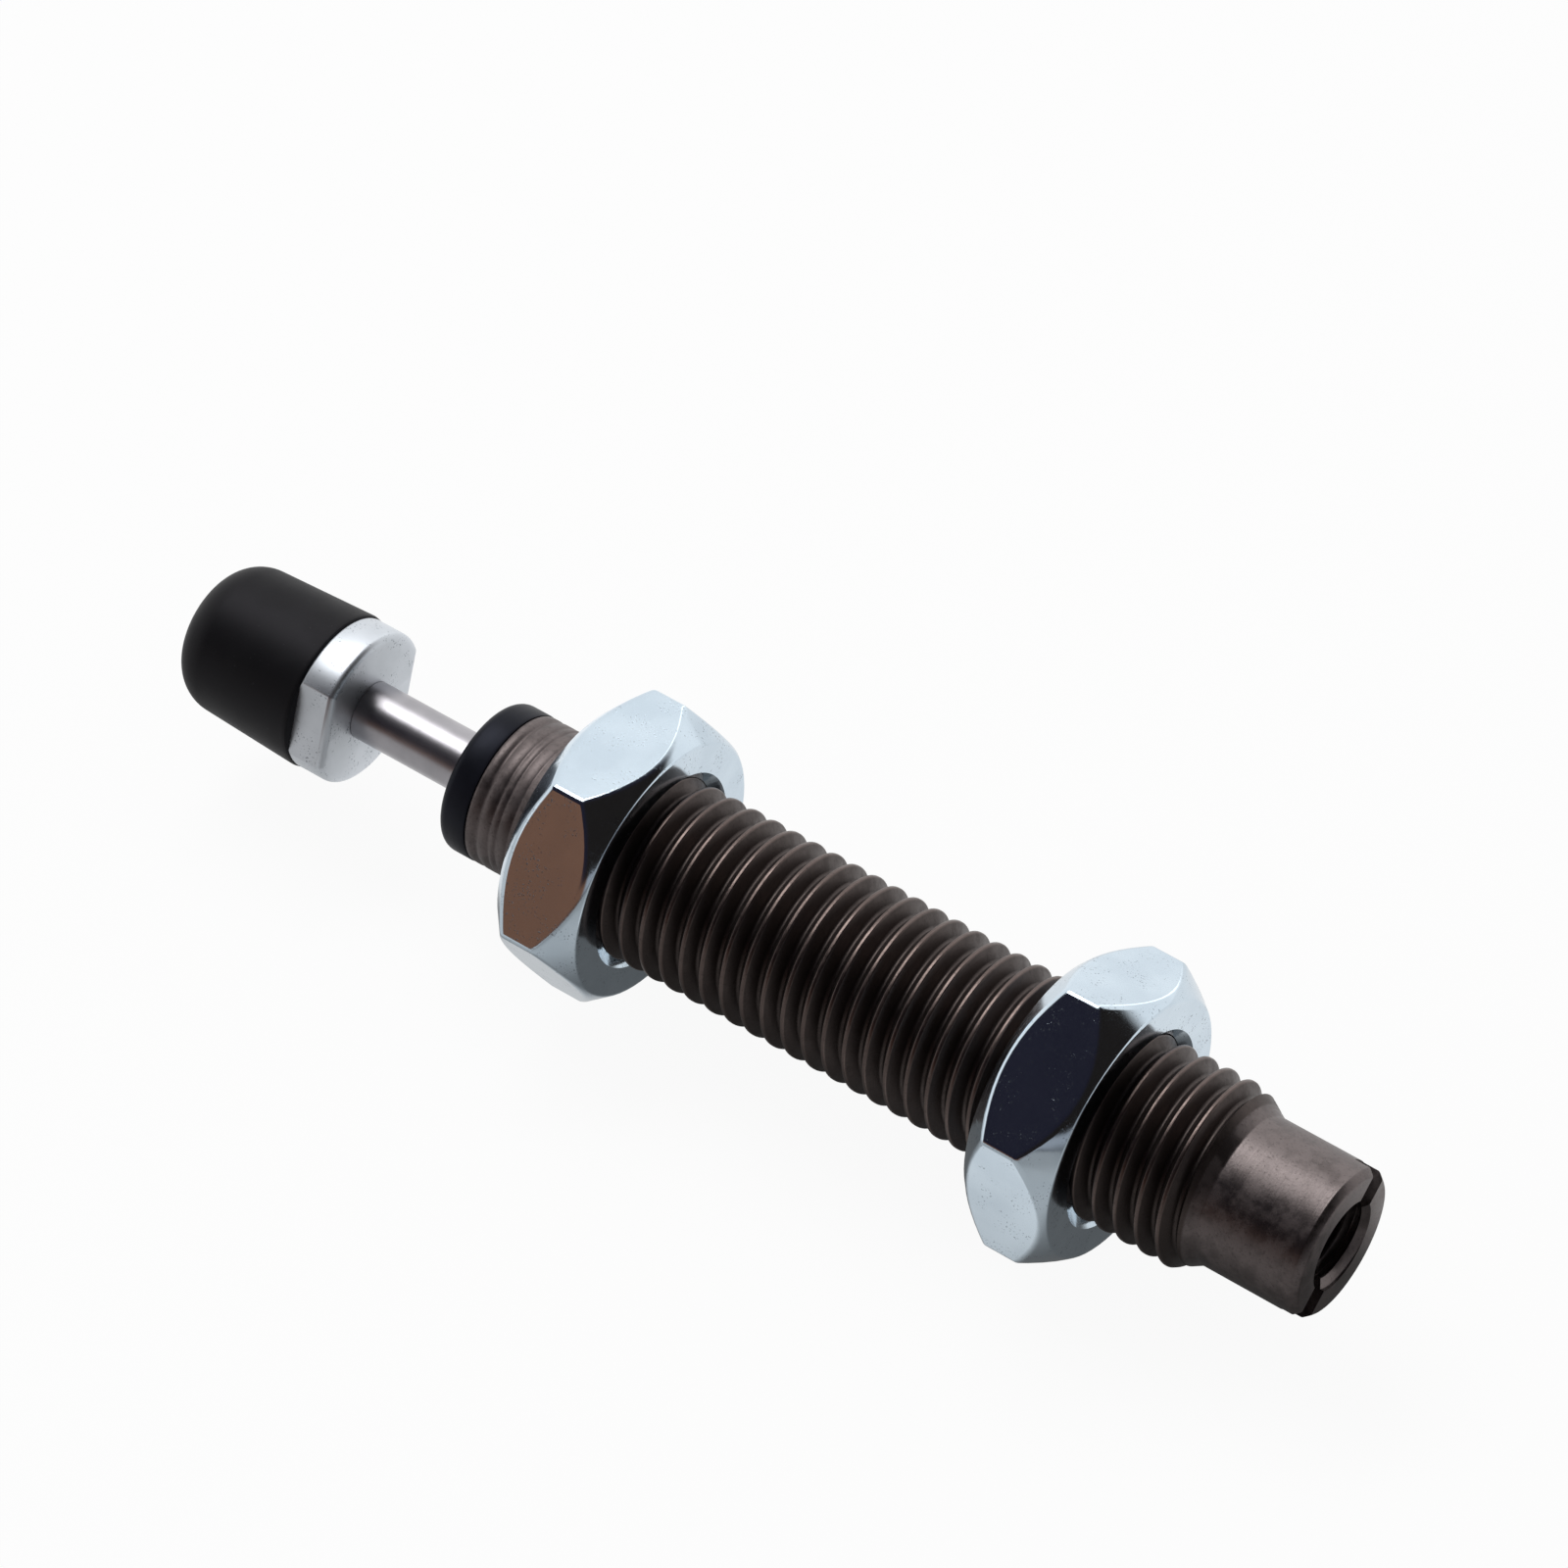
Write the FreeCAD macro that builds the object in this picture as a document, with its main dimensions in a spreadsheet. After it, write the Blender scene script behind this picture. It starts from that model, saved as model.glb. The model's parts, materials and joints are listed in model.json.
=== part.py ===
import FreeCAD, Part
import os
import re
import Sketcher

# Miniature hydraulic shock absorber with an M8 x 1 body, a 6 mm stroke and two lock nuts.
# The X axis is the axis of the body and the rod. X is zero on the rear end face and grows
# towards the bumper. Z is up as the part lies on its nuts. Every size is in millimetres.

DRIVING_SIZES = {
    # Threaded body, from the rear end to its mouth
    "thread_dia": 8.0,
    "thread_length": 32.1,
    "thread_chamfer": 0.6,
    "spigot_dia": 6.56,
    "spigot_length": 4.7,
    "spigot_chamfer": 0.25,
    "neck_dia": 6.66,
    "neck_length": 3.6,
    "bore_dia": 5.4,
    "floor_station": 9.4,
    # Rear end: screwdriver slot, filling hole and oil port
    "slot_width": 1.2,
    "slot_depth": 1.0,
    "slot_turn": 52.0,
    "fill_hole_dia": 3.3,
    "fill_hole_depth": 7.6,
    "port_dia": 1.2,
    "drill_half_angle": 59.0,
    "hole_chamfer": 0.2,
    # Filling plug and the ball that it presses on the port
    "ball_dia": 2.5,
    "ball_clearance": 0.01,
    "plug_length": 2.6,
    "plug_clearance": 0.02,
    "plug_chamfer": 0.3,
    "socket_flats": 2.0,
    "socket_depth": 1.3,
    # Lock nuts
    "nut_flats": 11.8,
    "nut_width": 4.2,
    "nut_front_dia": 10.8,
    "nut_front_angle": 41.0,
    "nut_rear_dia": 11.4,
    "nut_rear_angle": 52.0,
    "nut_clearance": 0.05,
    "nut_countersink": 0.35,
    "rear_nut_station": 9.95,
    "rear_nut_turn": 26.8,
    "front_nut_station": 32.9,
    "front_nut_turn": 2.4,
    # Black end cap in the mouth of the body
    "cap_dia": 6.7,
    "cap_flange": 1.4,
    "cap_edge_radius": 0.45,
    "cap_spigot": 1.5,
    "cap_rod_gap": 0.1,
    "wiper_dia": 4.2,
    "wiper_length": 1.6,
    "wiper_lip": 0.25,
    "wiper_bevel": 0.5,
    # Rod seal and the washer behind it
    "seal_length": 1.7,
    "seal_lip": 0.4,
    "seal_notch": 0.9,
    "seal_gap": 0.02,
    "washer_thickness": 0.4,
    "washer_gap": 0.08,
    # Rod bearing, its ring and the foam sleeve round it
    "bearing_gap": 0.03,
    "bearing_front_flange": 1.8,
    "bearing_waist": 6.0,
    "bearing_waist_dia": 3.8,
    "bearing_rear_flange": 0.8,
    "bearing_pilot": 0.8,
    "ring_section": 0.6,
    "ring_groove_width": 0.75,
    "foam_gap": 0.05,
    # Pressure tube with its metering holes, and the spring seat in its rear end
    "tube_outer_dia": 4.9,
    "tube_inner_dia": 4.1,
    "orifice_dia": 0.45,
    "orifice_first": 8.3,
    "orifice_pitch": 0.9,
    "orifice_growth": 0.25,
    "seat_thickness": 1.0,
    "seat_boss_height": 0.8,
    "seat_boss_gap": 0.12,
    "seat_hole_dia": 1.2,
    "tube_fit_gap": 0.02,
    # Rod, piston and what holds it
    "stroke_length": 6.0,
    "rod_dia": 2.6,
    "rod_edge_chamfer": 0.15,
    "piston_gap": 0.2,
    "piston_length": 3.2,
    "piston_hole_dia": 0.4,
    "piston_hole_circle": 2.3,
    "ring_slot_station": 1.25,
    "ring_slot_width": 0.7,
    "ring_slot_depth": 0.45,
    "piston_ring_gap": 0.02,
    "piston_ring_opening": 0.3,
    "tail_dia": 1.6,
    "tail_projection": 0.3,
    "tail_nut_flats": 2.2,
    "tail_nut_width": 1.1,
    # Return spring
    "wire_dia": 0.35,
    "coil_dia": 3.2,
    "active_coils": 9.0,
    "end_coils": 1.0,
    "end_coil_gap": 0.02,
    "spring_end_gap": 0.01,
    # Head on the rod and the bumper pressed on it
    "head_dia": 7.0,
    "head_flats": 5.9,
    "head_thickness": 1.7,
    "head_edge": 0.15,
    "head_turn": 108.0,
    "stub_dia": 3.0,
    "stub_length": 3.6,
    "barb_station": 0.7,
    "barb_width": 1.1,
    "barb_depth": 0.3,
    "tenon_dia": 1.8,
    "tenon_length": 3.0,
    "bumper_base_dia": 7.0,
    "bumper_length": 6.85,
    "bumper_draft": 2.6,
    "bumper_corner_station": 4.75,
    "bumper_corner_radius": 1.8,
    "bumper_tip_dia": 1.0,
}

# Stations and sizes that follow from the driving ones
DERIVED_SIZES = {
    "thread_end": "spigot_length + thread_length",
    "mouth_station": "thread_end + neck_length",
    "front_face": "mouth_station + cap_flange",
    "cap_station": "mouth_station - cap_spigot",
    "seal_station": "cap_station - seal_length",
    "washer_station": "seal_station - washer_thickness",
    "bearing_length": "bearing_pilot + bearing_rear_flange + bearing_waist + bearing_front_flange",
    "bearing_station": "washer_station - bearing_length",
    "tube_length": "bearing_station + bearing_pilot - floor_station",
    "piston_front": "bearing_station - piston_gap",
    "piston_station": "piston_front - piston_length",
    "piston_dia": "tube_inner_dia - 2 * tube_fit_gap",
    "tail_length": "piston_length + tail_nut_width + tail_projection",
    "rod_station": "piston_front - tail_length",
    "spring_station": "floor_station + seat_thickness + spring_end_gap",
    "spring_length": "piston_station - spring_end_gap - spring_station",
    "end_coil_pitch": "wire_dia + end_coil_gap",
    "end_coil_height": "end_coils * end_coil_pitch",
    "head_station": "front_face + stroke_length",
    "bumper_station": "head_station + head_thickness",
    "corner_drop": "bumper_corner_station * tan(bumper_draft * 1deg)",
    "corner_rise": "bumper_corner_radius / cos(bumper_draft * 1deg)",
    "corner_height": "bumper_base_dia / 2 - corner_drop - corner_rise",
    "nose_reach": "bumper_length - bumper_corner_station",
    "crown_square": "nose_reach^2 + corner_height^2 - bumper_corner_radius^2",
    "crown_radius": "crown_square / (2 * (nose_reach - bumper_corner_radius))",
    "crown_share": "bumper_corner_radius / (crown_radius - bumper_corner_radius)",
    "cone_apex": "fill_hole_depth + fill_hole_dia / 2 / tan(drill_half_angle * 1deg)",
    "ball_station": "cone_apex - (ball_dia / 2 + ball_clearance) / sin(drill_half_angle * 1deg)",
    "plug_station": "ball_station - ball_dia / 2 - ball_clearance - plug_length",
    "rod_hole_dia": "rod_dia + 2 * seal_gap",
}

FULL_TURN = 360.0
PISTON_HOLES = 4
ORIFICES = 5
SAME_PLACE = 1e-4  # Points and circles closer than this are taken as one
X_AXIS = FreeCAD.Vector(1, 0, 0)

doc = FreeCAD.newDocument("shock_absorber")
sheet = doc.addObject("Spreadsheet::Sheet", "sizes")


def fill_sheet():
    """Driving sizes as plain numbers, then the sizes that follow from them as formulas."""
    row = 1
    for alias, number in DRIVING_SIZES.items():
        sheet.set("A%d" % row, alias)
        sheet.set("B%d" % row, str(number))
        sheet.setAlias("B%d" % row, alias)
        row += 1
    doc.recompute()
    for alias, text in DERIVED_SIZES.items():
        sheet.set("A%d" % row, alias)
        sheet.set("B%d" % row, "=" + text)
        sheet.setAlias("B%d" % row, alias)
        doc.recompute()
        row += 1


def formula(text):
    """The words of a formula that name a size, as cells of the sheet."""
    return re.sub(r"\b[a-z]+(_[a-z]+)+\b", lambda word: "sizes." + word.group(0), text)


def size(text):
    """The present value of a formula."""
    return float(sheet.evalExpression(formula(text)))


def bind(thing, prop, text):
    """Tie one property to a formula on the sheet."""
    thing.setExpression(prop, formula(text))


def origin_plane(body, role):
    for feature in body.Origin.OriginFeatures:
        if feature.Role == role:
            return feature
    raise RuntimeError("no plane " + role)


def new_body(label, station="0", turn=None):
    """A body whose own origin lies on the axis at a station, turned about the axis."""
    body = doc.addObject("PartDesign::Body", label)
    body.Label = label
    angle = size(turn) if turn else 0
    body.Placement = FreeCAD.Placement(
        FreeCAD.Vector(size(station), 0, 0), FreeCAD.Rotation(X_AXIS, angle)
    )
    if station != "0":
        bind(body, "Placement.Base.x", station)
    if turn:
        bind(body, "Placement.Rotation.Angle", turn + " * 1deg")
    return body


def new_sketch(body, role):
    sketch = body.newObject("Sketcher::SketchObject", "outline")
    sketch.AttachmentSupport = (origin_plane(body, role), [""])
    sketch.MapMode = "FlatFace"
    return sketch


def hold_point(sketch, geometry, point, first, second):
    """Fix one sketch point by two formulas; a zero puts it on the axis of the sketch."""
    for kind, text, axis in (("DistanceX", first, -2), ("DistanceY", second, -1)):
        if text == "0":
            rule = Sketcher.Constraint("PointOnObject", geometry, point, axis)
            sketch.addConstraint(rule)
            continue
        rule = Sketcher.Constraint(kind, geometry, point, size(text))
        index = sketch.addConstraint(rule)
        bind(sketch, "Constraints[%d]" % index, text)


def draw_outline(sketch, corners, bends=None):
    """A closed outline through corners, drawn anticlockwise. A bend makes the edge after its corner
    an arc of a radius, bulging out of the outline."""
    bends = bends or {}
    spots = [FreeCAD.Vector(size(a), size(b), 0) for a, b in corners]
    edges = []
    for i, start in enumerate(spots):
        end = spots[(i + 1) % len(spots)]
        if i in bends:
            radius = size(bends[i])
            half = (end - start) * 0.5
            rise = radius - (radius**2 - half.Length**2) ** 0.5
            side = FreeCAD.Vector(half.y, -half.x, 0).normalize()
            middle = start + half + side * rise
            arc = Part.Arc(start, middle, end)
            edges.append(sketch.addGeometry(arc, False))
        else:
            edges.append(sketch.addGeometry(Part.LineSegment(start, end), False))
    first_point = {}
    for i, edge in enumerate(edges):
        # An arc may be stored the other way round, so its own start point is looked up
        begins_here = sketch.getPoint(edge, 1).distanceToPoint(spots[i]) < SAME_PLACE
        first_point[i] = (1, 2) if begins_here else (2, 1)
    for i, edge in enumerate(edges):
        follower = (i + 1) % len(edges)
        rule = Sketcher.Constraint(
            "Coincident", edge, first_point[i][1], edges[follower], first_point[follower][0]
        )
        sketch.addConstraint(rule)
        hold_point(sketch, edge, first_point[i][0], *corners[i])
        if i in bends:
            rule = Sketcher.Constraint("Radius", edge, size(bends[i]))
            index = sketch.addConstraint(rule)
            bind(sketch, "Constraints[%d]" % index, bends[i])


def turn_about_axis(body, kind, corners, bends=None):
    """Add or cut a turned form from an outline in the plane through the axis."""
    sketch = new_sketch(body, "XZ_Plane")
    draw_outline(sketch, corners, bends)
    form = body.newObject(kind, "turned")
    form.Profile = sketch
    form.ReferenceAxis = (sketch, ["H_Axis"])
    form.Angle = FULL_TURN
    body.Tip = form
    doc.recompute()


def turned_body(label, corners, station="0", bends=None):
    body = new_body(label, station)
    turn_about_axis(body, "PartDesign::Revolution", corners, bends)
    return body


def groove(body, corners):
    """Cut a turned form and make sure that it took material away."""
    before = body.Shape.Volume
    turn_about_axis(body, "PartDesign::Groove", corners)
    if body.Shape.Volume >= before:
        raise RuntimeError("a groove cuts nothing in " + body.Label)


def pocket(body, sketch, depth, reverse):
    """Cut a sketch to a depth and make sure that it took material away."""
    before = body.Shape.Volume
    cut = body.newObject("PartDesign::Pocket", "pocket")
    cut.Profile = sketch
    cut.Reversed = reverse
    cut.Length = size(depth)
    bind(cut, "Length", depth)
    body.Tip = cut
    doc.recompute()
    if body.Shape.Volume >= before:
        raise RuntimeError("a pocket cuts nothing in " + body.Label)
    return cut


def hexagon(flats):
    """Corners of a hexagon with two flats level, by the size across its flats."""
    half = "%s / 2" % flats
    quarter = "%s / 2 / tan(60deg)" % flats
    corner = "%s / 2 / cos(30deg)" % flats
    return [
        (quarter, half),
        ("-" + quarter, half),
        ("-" + corner, "0"),
        ("-" + quarter, "-" + half),
        (quarter, "-" + half),
        (corner, "0"),
    ]


def octagon(flats, across, up):
    """Corners of an octagon round a point, by the size across its flats."""
    near = "%s / 2 * tan(22.5deg)" % flats
    far = "%s / 2" % flats
    steps = [(far, near), (near, far), ("-" + near, far), ("-" + far, near)]
    steps += [("-" + a, "-" + b) for a, b in steps]
    return [("%s + (%s)" % (across, a), "%s + (%s)" % (up, b)) for a, b in steps]


def pad(body, sketch, length):
    form = body.newObject("PartDesign::Pad", "pad")
    form.Profile = sketch
    form.Length = size(length)
    bind(form, "Length", length)
    body.Tip = form
    doc.recompute()


def make_barrel():
    """Threaded body: a blind bore for the damper in front, the filling hole and slot at the rear."""
    hole = "fill_hole_dia / 2"
    port = "port_dia / 2"
    cone_end = "fill_hole_depth + (fill_hole_dia - port_dia) / 2 / tan(drill_half_angle * 1deg)"
    corners = [
        ("0", hole + " + hole_chamfer"),
        ("hole_chamfer", hole),
        ("fill_hole_depth", hole),
        (cone_end, port),
        ("floor_station", port),
        ("floor_station", "bore_dia / 2"),
        ("mouth_station", "bore_dia / 2"),
        ("mouth_station", "neck_dia / 2"),
        ("thread_end", "neck_dia / 2"),
        ("thread_end - thread_chamfer", "thread_dia / 2"),
        ("spigot_length + thread_chamfer", "thread_dia / 2"),
        ("spigot_length", "spigot_dia / 2"),
        ("spigot_chamfer", "spigot_dia / 2"),
        ("0", "spigot_dia / 2 - spigot_chamfer"),
    ]
    body = turned_body("barrel", corners)
    slot = new_sketch(body, "YZ_Plane")
    slot.AttachmentOffset = FreeCAD.Placement(
        FreeCAD.Vector(), FreeCAD.Rotation(FreeCAD.Vector(0, 0, 1), size("slot_turn"))
    )
    bind(slot, "AttachmentOffset.Rotation.Angle", "slot_turn * 1deg")
    reach = "thread_dia / 2"
    half = "slot_width / 2"
    draw_outline(
        slot,
        [(half, reach), ("-" + half, reach), ("-" + half, "-" + reach), (half, "-" + reach)],
    )
    pocket(body, slot, "slot_depth", True)
    return body


def make_front_cap():
    """Black end cap: a flange with a rounded edge, and a spigot in the bore that holds the wiper."""
    length = "cap_spigot + cap_flange"
    rod_hole = "rod_dia / 2 + cap_rod_gap"
    body = turned_body(
        "front_cap",
        [
            ("0", "wiper_dia / 2"),
            ("wiper_length", "wiper_dia / 2"),
            ("wiper_length", rod_hole),
            (length, rod_hole),
            (length, "cap_dia / 2"),
            ("cap_spigot", "cap_dia / 2"),
            ("cap_spigot", "bore_dia / 2"),
            ("0", "bore_dia / 2"),
        ],
        "cap_station",
    )
    turned = body.Tip
    rim = edge_at(turned, size(length), size("cap_dia / 2"))
    edge = body.newObject("PartDesign::Fillet", "edge")
    edge.Base = (turned, [rim])
    bind(edge, "Radius", "cap_edge_radius")
    body.Tip = edge
    doc.recompute()
    return body


def edge_at(feature, station, radius):
    """The name of the feature's round edge at a station and radius."""
    for number, edge in enumerate(feature.Shape.Edges, 1):
        if not isinstance(edge.Curve, Part.Circle):
            continue
        same_station = abs(edge.Curve.Center.x - station) < SAME_PLACE
        if same_station and abs(edge.Curve.Radius - radius) < SAME_PLACE:
            return "Edge%d" % number
    raise RuntimeError("no round edge in " + feature.Label)


def make_rod_wiper():
    """Wiper whose lip bears on the rod just behind the end cap."""
    rod_hole = "rod_hole_dia / 2"
    return turned_body(
        "rod_wiper",
        [
            ("0", rod_hole),
            ("wiper_length", rod_hole),
            ("wiper_length", rod_hole + " + wiper_lip"),
            ("wiper_length - wiper_bevel", "wiper_dia / 2"),
            ("0", "wiper_dia / 2"),
        ],
        "cap_station",
    )


def make_rod_seal():
    """Lip seal on the rod, with its notch towards the oil."""
    rod_hole = "rod_hole_dia / 2"
    return turned_body(
        "rod_seal",
        [
            ("0", rod_hole),
            ("seal_length", rod_hole),
            ("seal_length", "bore_dia / 2"),
            ("0", "bore_dia / 2"),
            ("0", "bore_dia / 2 - seal_lip"),
            ("seal_notch", "(bore_dia + rod_hole_dia) / 4"),
            ("0", rod_hole + " + seal_lip"),
        ],
        "seal_station",
    )


def plain_ring(label, station, length, inner, outer):
    corners = [("0", inner), (length, inner), (length, outer), ("0", outer)]
    return turned_body(label, corners, station)


def make_seal_washer():
    """Flat washer that backs the seal on the bearing."""
    inner = "rod_dia / 2 + washer_gap"
    return plain_ring("seal_washer", "washer_station", "washer_thickness", inner, "bore_dia / 2")


def make_rod_bearing():
    """Bearing bush: a pilot in the pressure tube, a waist for the foam and a grooved front flange."""
    bore = "rod_dia / 2 + bearing_gap"
    waist = "bearing_waist_dia / 2"
    flange = "bearing_pilot + bearing_rear_flange"
    front = flange + " + bearing_waist"
    groove_rear = front + " + (bearing_front_flange - ring_groove_width) / 2"
    groove_front = front + " + (bearing_front_flange + ring_groove_width) / 2"
    groove_floor = "bore_dia / 2 - ring_section"
    return turned_body(
        "rod_bearing",
        [
            ("0", bore),
            ("bearing_length", bore),
            ("bearing_length", "bore_dia / 2"),
            (groove_front, "bore_dia / 2"),
            (groove_front, groove_floor),
            (groove_rear, groove_floor),
            (groove_rear, "bore_dia / 2"),
            (front, "bore_dia / 2"),
            (front, waist),
            (flange, waist),
            (flange, "tube_outer_dia / 2"),
            ("bearing_pilot", "tube_outer_dia / 2"),
            ("bearing_pilot", "tube_inner_dia / 2 - tube_fit_gap"),
            ("0", "tube_inner_dia / 2 - tube_fit_gap"),
        ],
        "bearing_station",
    )


def make_bearing_ring():
    """Rubber ring in the groove of the bearing's front flange."""
    ring = doc.addObject("Part::Torus", "bearing_o_ring")
    ring.Label = "bearing_o_ring"
    bind(ring, "Radius1", "bore_dia / 2 - ring_section / 2")
    bind(ring, "Radius2", "ring_section / 2")
    ring.Placement = FreeCAD.Placement(
        FreeCAD.Vector(), FreeCAD.Rotation(FreeCAD.Vector(0, 1, 0), 90)
    )
    bind(ring, "Placement.Base.x", "washer_station - bearing_front_flange / 2")
    doc.recompute()
    return ring


def make_foam():
    """Foam sleeve round the bearing's waist, which takes up the oil that the rod displaces."""
    station = "bearing_station + bearing_pilot + bearing_rear_flange + foam_gap"
    length = "bearing_waist - 2 * foam_gap"
    inner = "bearing_waist_dia / 2 + foam_gap"
    return plain_ring("accumulator_foam", station, length, inner, "bore_dia / 2 - foam_gap")


def make_pressure_tube():
    """Inner tube, with a row of metering holes that the piston covers one after another."""
    body = plain_ring(
        "pressure_tube", "floor_station", "tube_length", "tube_inner_dia / 2", "tube_outer_dia / 2"
    )
    sketch = new_sketch(body, "XY_Plane")
    for i in range(ORIFICES):
        growth = i * (i - 1) // 2
        place = "orifice_first + %d * orifice_pitch + %d * orifice_growth" % (i, growth)
        centre = FreeCAD.Vector(size(place), 0, 0)
        circle = Part.Circle(centre, FreeCAD.Vector(0, 0, 1), size("orifice_dia / 2"))
        index = sketch.addGeometry(circle, False)
        hold_point(sketch, index, 3, place, "0")
        rule = sketch.addConstraint(Sketcher.Constraint("Radius", index, size("orifice_dia / 2")))
        bind(sketch, "Constraints[%d]" % rule, "orifice_dia / 2")
    pocket(body, sketch, "tube_outer_dia", True)
    return body


def make_spring_seat():
    """Seat at the rear of the pressure tube, with a boss that centres the spring."""
    boss = "(coil_dia - wire_dia) / 2 - seat_boss_gap"
    return turned_body(
        "spring_seat",
        [
            ("0", "seat_hole_dia / 2"),
            ("seat_thickness + seat_boss_height", "seat_hole_dia / 2"),
            ("seat_thickness + seat_boss_height", boss),
            ("seat_thickness", boss),
            ("seat_thickness", "piston_dia / 2"),
            ("0", "piston_dia / 2"),
        ],
        "floor_station",
    )


def make_piston_rod():
    """Rod in one piece: a thin tail through the piston, the ground rod, and a tenon for the head."""
    shoulder = "tail_length"
    rod_end = "tail_length + head_station - piston_front"
    tip = rod_end + " + tenon_length"
    edge = "rod_edge_chamfer"
    return turned_body(
        "piston_rod",
        [
            ("0", "0"),
            ("0", "tail_dia / 2 - " + edge),
            (edge, "tail_dia / 2"),
            (shoulder, "tail_dia / 2"),
            (shoulder, "rod_dia / 2"),
            (rod_end, "rod_dia / 2"),
            (rod_end, "tenon_dia / 2"),
            (tip, "tenon_dia / 2"),
            (tip, "0"),
        ],
        "rod_station",
    )


def make_piston():
    """Piston with a slot for its ring and four oil passages."""
    slot_end = "ring_slot_station + ring_slot_width"
    slot_floor = "piston_dia / 2 - ring_slot_depth"
    body = turned_body(
        "piston",
        [
            ("0", "tail_dia / 2"),
            ("piston_length", "tail_dia / 2"),
            ("piston_length", "piston_dia / 2"),
            (slot_end, "piston_dia / 2"),
            (slot_end, slot_floor),
            ("ring_slot_station", slot_floor),
            ("ring_slot_station", "piston_dia / 2"),
            ("0", "piston_dia / 2"),
        ],
        "piston_station",
    )
    sketch = new_sketch(body, "YZ_Plane")
    centre = FreeCAD.Vector(0, size("piston_hole_circle / 2"), 0)
    radius = size("piston_hole_dia / 2")
    circle = sketch.addGeometry(Part.Circle(centre, FreeCAD.Vector(0, 0, 1), radius), False)
    hold_point(sketch, circle, 3, "0", "piston_hole_circle / 2")
    rule = sketch.addConstraint(Sketcher.Constraint("Radius", circle, radius))
    bind(sketch, "Constraints[%d]" % rule, "piston_hole_dia / 2")
    passage = pocket(body, sketch, "piston_length", True)
    pattern = body.newObject("PartDesign::PolarPattern", "passages")
    pattern.Originals = [passage]
    pattern.Axis = (sketch, ["N_Axis"])
    pattern.Angle = FULL_TURN
    pattern.Occurrences = PISTON_HOLES
    body.Tip = pattern
    doc.recompute()
    return body


def make_piston_ring():
    """Split ring in the piston's slot."""
    width = "ring_slot_width - 2 * piston_ring_gap"
    inner = "piston_dia / 2 - ring_slot_depth + piston_ring_gap"
    outer = "tube_inner_dia / 2 - piston_ring_gap / 2"
    station = "piston_station + ring_slot_station + piston_ring_gap"
    body = plain_ring("piston_ring", station, width, inner, outer)
    sketch = new_sketch(body, "XY_Plane")
    half = "piston_ring_opening / 2"
    draw_outline(
        sketch,
        [("0", half), ("0", "-" + half), ("ring_slot_width", "-" + half), ("ring_slot_width", half)],
    )
    pocket(body, sketch, "tube_inner_dia", True)
    return body


def make_tail_nut():
    """Small hexagon nut that holds the piston on the rod's tail."""
    body = new_body("piston_nut", "piston_station - tail_nut_width")
    sketch = new_sketch(body, "YZ_Plane")
    draw_outline(sketch, hexagon("tail_nut_flats"))
    pad(body, sketch, "tail_nut_width")
    bore_corners = [
        ("0", "0"),
        ("tail_nut_width", "0"),
        ("tail_nut_width", "tail_dia / 2"),
        ("0", "tail_dia / 2"),
    ]
    groove(body, bore_corners)
    return body


def add_coils(body, sketch, pitch, turns, reverse):
    """Sweep the wire's section round the axis."""
    coils = body.newObject("PartDesign::AdditiveHelix", "coils")
    coils.Profile = sketch
    coils.ReferenceAxis = (sketch, ["H_Axis"])
    coils.Mode = "pitch-turns-angle"
    coils.Pitch = size(pitch)
    coils.Turns = size(turns)
    coils.Angle = 0
    coils.Reversed = reverse
    bind(coils, "Pitch", pitch)
    bind(coils, "Turns", turns)
    body.Tip = coils
    doc.recompute()


def wire_section(body, station):
    """The wire's section in the plane through the axis, at a station of the spring. Eight flats
    stand for its round outline, so the many coils have few faces."""
    sketch = new_sketch(body, "XZ_Plane")
    draw_outline(sketch, octagon("wire_dia", station, "coil_dia / 2"))
    return sketch


def make_return_spring():
    """Helical return spring: open coils between two closed end coils, both ends ground flat."""
    body = new_body("return_spring", "spring_station")
    first = "end_coil_height + wire_dia / 4"
    last = "spring_length - end_coil_height - wire_dia / 4"
    rear = wire_section(body, first)
    add_coils(body, rear, "(%s - (%s)) / active_coils" % (last, first), "active_coils", False)
    add_coils(body, rear, "end_coil_pitch", "end_coils", True)
    front = wire_section(body, last)
    add_coils(body, front, "end_coil_pitch", "end_coils", False)
    outer = "coil_dia / 2 + 2 * wire_dia"
    beyond = "spring_length + 2 * wire_dia"
    groove(body, [("0", "0"), ("0", outer), ("-2 * wire_dia", outer), ("-2 * wire_dia", "0")])
    groove(body, [("spring_length", "0"), ("spring_length", outer), (beyond, outer), (beyond, "0")])
    return body


def make_lock_nut(label, station, turn):
    """Hexagon nut with a wide rear face, a deep front chamfer and a bore that clears the thread."""
    body = new_body(label, station, turn)
    sketch = new_sketch(body, "YZ_Plane")
    draw_outline(sketch, hexagon("nut_flats"))
    pad(body, sketch, "nut_width")
    beyond = "nut_flats"
    rear_drop = "(nut_flats - nut_rear_dia / 2) * tan(nut_rear_angle * 1deg)"
    front_drop = "(nut_flats - nut_front_dia / 2) * tan(nut_front_angle * 1deg)"
    bore = "thread_dia / 2 + nut_clearance"
    mouth = bore + " + nut_countersink"
    groove(body, [("0", "nut_rear_dia / 2"), (rear_drop, beyond), ("0", beyond)])
    groove(
        body,
        [
            ("nut_width", "nut_front_dia / 2"),
            ("nut_width", beyond),
            ("nut_width - " + front_drop, beyond),
        ],
    )
    groove(
        body,
        [
            ("0", "0"),
            ("nut_width", "0"),
            ("nut_width", mouth),
            ("nut_width - nut_countersink", bore),
            ("nut_countersink", bore),
            ("0", mouth),
        ],
    )
    return body


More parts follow.
